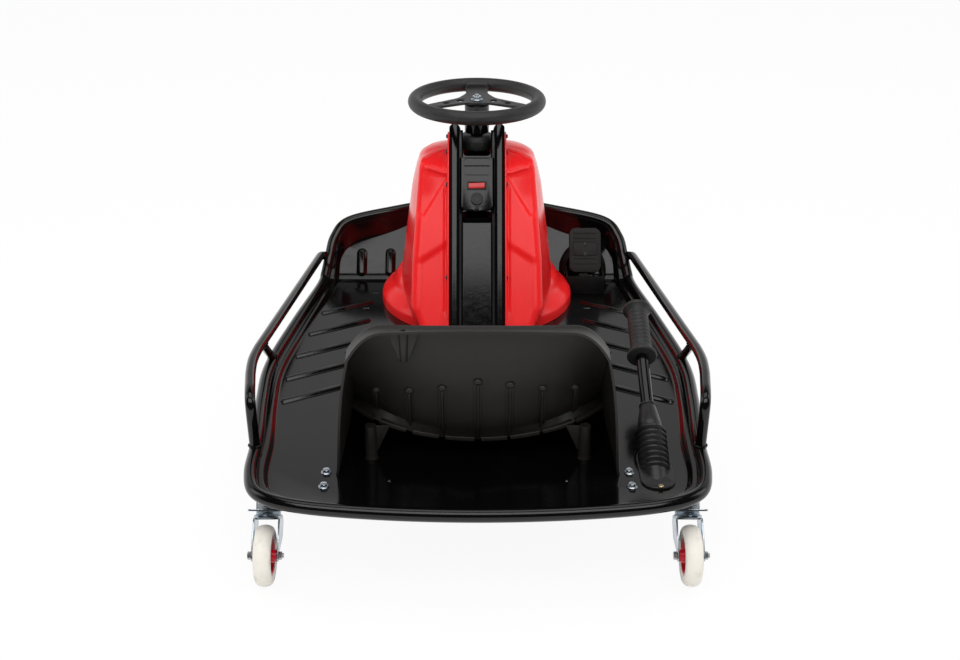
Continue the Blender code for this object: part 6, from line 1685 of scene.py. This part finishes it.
# Pedal
def build_pedal():
    """Throttle pad with its border, grooves and screws, and the moulded hood behind it."""
    place = pad_frame()
    pad_w = 0.066
    pad_length = 0.094
    middle = 0.0085 + pad_length / 2
    bm = prism(rounded_box(pad_w / 2, pad_length / 2, 0.014, 8, (0, middle)), 0.010, 0.019, soft=0.0016)
    grooves = [prism(rounded_box(0.024, 0.0016, 0.0015, 4, (0, y)), 0.0174, 0.03)
               for y in (0.025, 0.036, 0.079, 0.090)]
    frame_groove = prism(rounded_box(0.0265, 0.0155, 0.004, 5, (0, 0.0575)), 0.0180, 0.03)
    raised = prism(rounded_box(0.0250, 0.0140, 0.0035, 5, (0, 0.0575)), 0.0165, 0.0188, soft=0.0006)
    bm = cut(bm, *grooves, frame_groove)
    bm = together(bm, raised)
    barrel = 0.017 - RUN - 0.006
    tube = lathe(((0.0, -barrel), (0.0072, -barrel), (0.0072, barrel), (0.0, barrel)), 36, "X",
                 centre=(-0.003, 0, 0), soft=0.0008)
    arm = prism(rounded_box(0.009, 0.022, 0.002, 4, (-0.003, 0.020)), -0.003, 0.012, soft=0.0008)
    bm = together(moved(bm, rotation=place), moved(tube, (PEDAL_X, PEDAL_Y, PEDAL_Z)), moved(arm, rotation=place))
    piece("throttle_pad", bm, "pedal_rubber", "pedal", ("pedal_pad",))
    spots = [place @ Matrix.Translation((0, y, 0.0186)) for y in (0.047, 0.068)]
    piece("pad_screws", repeated(cross_screw(0.0040, 0.0014), spots), "black_moulding", "pedal")
    build_hood()


HOOD_DROP = 0.030            # depth of the hood below the pan's top


def arch_ring(half, height, y, lean):
    """Arch-shaped ring standing below the floor, leaning forward with its height."""
    points = [(-half, 0.0)]
    for k in range(33):
        angle = math.pi - math.pi * k / 32
        points.append((half * math.cos(angle), height - half * 0.9 + half * 0.9 * math.sin(angle)))
    points.append((half, 0.0))
    return [(PEDAL_X + x, y + z * lean, FLOOR_Z - HOOD_DROP + (z / height) * (height + HOOD_DROP)) for x, z in points]


def build_hood():
    """Moulded hood that flares from behind the pad forward to the toe board."""
    start = PEDAL_Y + 0.022
    lean = 0.36
    wall = 0.0025
    depth = 0.030
    rings = []
    for t in (0.0, 0.04, 0.12, 0.3, 0.6, 1.0):
        swell = math.sin(t * math.pi / 2)
        rings.append(arch_ring(0.041 + 0.011 * swell, 0.070 + 0.004 * swell, start + depth * t, lean))
    hood = loft(rings)
    hollow = loft([arch_ring(0.041 - wall, 0.070 - wall, start - 0.004, lean),
                   arch_ring(0.052 - wall, 0.074 - wall, start + depth - 2 * wall, lean)])
    hood = cut(hood, hollow)
    path = frame_outline(144)
    inside = [inward(path, k, TUBE_R + LIP_W + STEP_W + 3 * GAP) for k in range(len(path))]
    hood = combined(hood, prism([(p.x, p.y) for p in inside], 0.10, 0.40), "INTERSECT")
    under = [(-0.6, FLOOR_Z + GAP), (TOE_Y, FLOOR_Z + GAP), (0.6, FLOOR_Z + GAP * 1.6 + (0.6 - TOE_Y) * TOE_SLOPE),
             (0.6, -0.05), (-0.6, -0.05)]
    hood = cut(hood, prism(under, -0.5, 0.5, "X"))
    heel_top = PEDAL_Z + 0.013
    heel = prism([(PEDAL_Y - 0.034, SEAT_Z), (PEDAL_Y - 0.023, SEAT_Z), (PEDAL_Y - 0.023, heel_top),
                  (PEDAL_Y - 0.028, heel_top)], PEDAL_X - 0.039, PEDAL_X + 0.039, "X", soft=0.0015)
    cheek = [(PEDAL_Y - 0.026, SEAT_Z), (start + 0.004, SEAT_Z), (start + 0.004, heel_top + 0.004),
             (PEDAL_Y - 0.026, heel_top - 0.001)]
    cheeks = [prism(cheek, PEDAL_X + side * 0.0375 - 0.0014, PEDAL_X + side * 0.0375 + 0.0014, "X", soft=0.0006)
              for side in (1, -1)]
    hood = together(hood, heel, *cheeks)
    piece("pedal_hood", softened(hood, 0.0008, 2, 45.0), "hood_moulding", nodes=("pedal_housing",))


# Bolts on the rear deck
def build_bolts():
    """Flange bolts of the drift bar's brackets, with their shanks and nuts."""
    for side, word in SIDES:
        for end, place in ((1, "front"), (-1, "rear")):
            at = (side * BRACKET_X, BAR_Y + end * BOLT_REACH)
            head = hex_bolt(0.0062, 0.0087, 0.0020, 0.0060, 0.0028, 0.0008)
            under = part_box(f"drift_bolt_{word}_{place}")[0][2]
            shank = lathe(((0.0, under), (0.0040, under), (0.0040, SEAT_Z + 0.001), (0.0, SEAT_Z + 0.001)), 24,
                          centre=(*at, 0))
            nut = moved(hex_bolt(0.0062, 0.0, 0.0, 0.0055), (*at, under + 0.0022))
            bm = together(moved(head, (*at, SEAT_Z), Matrix.Rotation(0.35 * side, 4, "Z")), shank, nut)
            piece(f"bracket_bolt_{word}_{place}", bm, "bright_zinc", nodes=(f"drift_bolt_{word}_{place}",))


def dress_nodes():
    """Gives the solids that stay in view their finishes."""
    slots = {row["node"]: row["material_slot"] for row in frame["record"]["subparts"]}
    for name, thing in frame["nodes"].items():
        if thing.hide_render:
            continue
        for slot in thing.material_slots:
            slot.material = finishes()[slots[name]]
        if not thing.material_slots:
            thing.data.materials.append(finishes()[slots[name]])


# Stage
SOFTBOXES = (
    # name, place, target, width, depth, share of the softbox setting
    ("softbox_rear", (0.0, -1.850, 2.65), (0.0, -0.320, 0.07), 3.8, 1.52, 1.0),
    ("softbox_top", (0.0, 0.35, 3.2), (0.0, 0.35, 0.0), 3.0, 1.9, 0.55),
    ("softbox_left", (-3.2, 0.4, 2.2), (0.0, 0.0, 0.2), 1.4, 2.0, 0.45),
    ("softbox_right", (3.2, 0.4, 2.2), (0.0, 0.0, 0.2), 1.4, 2.0, 0.45),
)
FLOOR_HALF = 14.0
CAMERA_X = -0.009
CAMERA_TILT = math.radians(65.0)
CAMERA_SHIFT = 0.0080


def build_stage():
    """Pale floor, softboxes, ambient light and the camera."""
    stage = bpy.context.scene.kart_stage
    bm = bmesh.new()
    bmesh.ops.create_grid(bm, x_segments=8, y_segments=8, size=FLOOR_HALF)
    floor = as_object(bm, "studio_floor")
    floor.data.materials.append(floor_paint(tuple(stage.floor)))

    build_surroundings(stage.ambient)
    for *aim, share in SOFTBOXES:
        lamp(*aim, stage.softbox * share)

    data = bpy.data.cameras.new("studio_camera")
    camera = bpy.data.objects.new("studio_camera", data)
    bpy.context.scene.collection.objects.link(camera)
    bpy.context.scene.camera = camera
    data.lens = stage.lens
    data.sensor_width = 36.0
    data.shift_x = CAMERA_SHIFT
    data.clip_end = 100.0
    camera.location = (CAMERA_X, -stage.camera_back, stage.camera_height)
    camera.rotation_euler = (CAMERA_TILT, 0.0, 0.0)
    bpy.context.scene.view_settings.view_transform = "Standard"


def ray_kinds(nodes):
    """Whether a ray comes from the camera, from a glossy skin or through a see-through one."""
    return [nodes.node("ShaderNodeLightPath", out=kind) for kind in
            ("Is Camera Ray", "Is Glossy Ray", "Is Transmission Ray")]


def build_surroundings(ambient):
    """White backdrop ahead and even light from all round; what glossy skins see overhead and behind is dark."""
    world = bpy.data.worlds.new("studio")
    bpy.context.scene.world = world
    world.use_nodes = True
    room = Nodes(world.node_tree)
    place = room.node("ShaderNodeTexCoord", out="Generated")
    ahead = room.node("ShaderNodeSeparateXYZ", None, {"Vector": place}, out="Y")
    height = room.node("ShaderNodeSeparateXYZ", None, {"Vector": place}, out="Z")
    backdrop = (1 - height.between(0.12, 0.38) * 0.5 - height.between(0.56, 0.68) * 0.5) * ahead.between(-0.30, 0.20)
    camera, glossy, through = ray_kinds(room)
    mirrored = glossy * (backdrop * 0.97 + 0.03)
    other = 1 - camera.largest(glossy).largest(through)
    sky = world.node_tree.nodes["Background"]
    sky.inputs["Color"].default_value = (1, 1, 1, 1)
    world.node_tree.links.new((other * ambient + mirrored + camera.largest(through)).socket, sky.inputs["Strength"])


def lamp(name, place, target, width, depth, level):
    """Rectangular softbox of an even brightness, aimed at a point."""
    data = bpy.data.lights.new(name, "AREA")
    data.shape = "RECTANGLE"
    data.size = width
    data.size_y = depth
    data.energy = level * math.pi * width * depth
    thing = bpy.data.objects.new(name, data)
    bpy.context.scene.collection.objects.link(thing)
    thing.location = place
    thing.rotation_euler = (Vector(target) - Vector(place)).to_track_quat("-Z", "Y").to_euler()


def floor_paint(colour):
    """Pale floor that reads as white round the kart and keeps the kart's shadow."""
    skin = Finish("studio_floor", colour, 0.9)
    speck = skin.noise(3.0, 3.0)
    skin.set("Base Color", skin.mixed(speck, colour, tuple(c * 0.985 for c in colour)))
    camera, glossy, through = ray_kinds(skin)
    seen = camera.largest(glossy).largest(through)
    glow = skin.node("ShaderNodeEmission", None, {"Color": (1, 1, 1, 1), "Strength": 1.0})
    both = skin.node("ShaderNodeMixShader", None, {0: seen * 0.93, 1: Wire(skin, skin.shader.outputs[0]), 2: glow})
    skin.tree.links.new(both.socket, skin.tree.nodes["Material Output"].inputs["Surface"])
    return skin.material


# Operators, one for each group of pieces
def group(idname, label, text, *makers):
    """Operator class that runs one group of makers."""
    def execute(self, context):
        for maker in makers:
            maker()
        return {"FINISHED"}
    name = "KART_OT_" + idname
    return type(name, (bpy.types.Operator,), {"bl_idname": "kart." + idname, "bl_label": label, "__doc__": text,
                                              "bl_options": {"REGISTER", "UNDO"}, "execute": execute})


GROUPS = (
    group("stage", "Stage", "Build the floor, the lights and the camera", build_stage),
    group("chassis", "Frame and pan", "Build the frame tube, the floor pan and the side rails",
          build_tube, build_pan, build_rails),
    group("spine", "Spine and controls", "Build the steering spine, the head and the switch panel",
          build_spine, build_head, build_panel, build_switch),
    group("shroud", "Shroud", "Build both halves of the wheel shroud and their screws", build_shroud),
    group("seat", "Seat", "Build the bucket seat and its posts", build_seat),
    group("steering", "Steering wheel", "Build the steering wheel and its nut", build_wheel),
    group("drive", "Drive wheel", "Build the drive wheel's tyre and rim", build_drive),
    group("lever", "Drift lever", "Build the hand lever, its grip and its boot", build_lever),
    group("casters", "Casters", "Build both casters", build_casters),
    group("pedal", "Pedal", "Build the throttle pad and its hood", build_pedal),
    group("bolts", "Deck bolts", "Build the bracket bolts on the rear deck", build_bolts),
    group("dress", "Inner solids", "Finish the solids that stay in view", dress_nodes),
)


class KART_PT_sidebar(bpy.types.Panel):
    """Lists the kart's groups of pieces and their settings"""
    bl_label = "Drift kart"
    bl_space_type = "VIEW_3D"
    bl_region_type = "UI"
    bl_category = "Kart"

    def draw(self, context):
        for settings in (context.scene.kart_paint, context.scene.kart_shape, context.scene.kart_stage):
            box = self.layout.box()
            for key in settings.__annotations__:
                box.prop(settings, key)
        for operator in GROUPS:
            self.layout.operator(operator.bl_idname)


SETTINGS = (("kart_paint", KartPaint), ("kart_shape", KartShape), ("kart_stage", KartStage))


def register():
    """Registers the settings, the operators and the panel."""
    for name, settings in SETTINGS:
        bpy.utils.register_class(settings)
        setattr(bpy.types.Scene, name, bpy.props.PointerProperty(type=settings))
    for operator in GROUPS:
        bpy.utils.register_class(operator)
    bpy.utils.register_class(KART_PT_sidebar)


def unregister():
    """Takes them out again."""
    bpy.utils.unregister_class(KART_PT_sidebar)
    for operator in reversed(GROUPS):
        bpy.utils.unregister_class(operator)
    for name, settings in reversed(SETTINGS):
        delattr(bpy.types.Scene, name)
        bpy.utils.unregister_class(settings)


def main():
    """Builds the kart through its operators and writes its size."""
    register()
    for operator in GROUPS:
        family, action = operator.bl_idname.split(".")
        getattr(getattr(bpy.ops, family), action)()


if __name__ == "__main__":
    main()
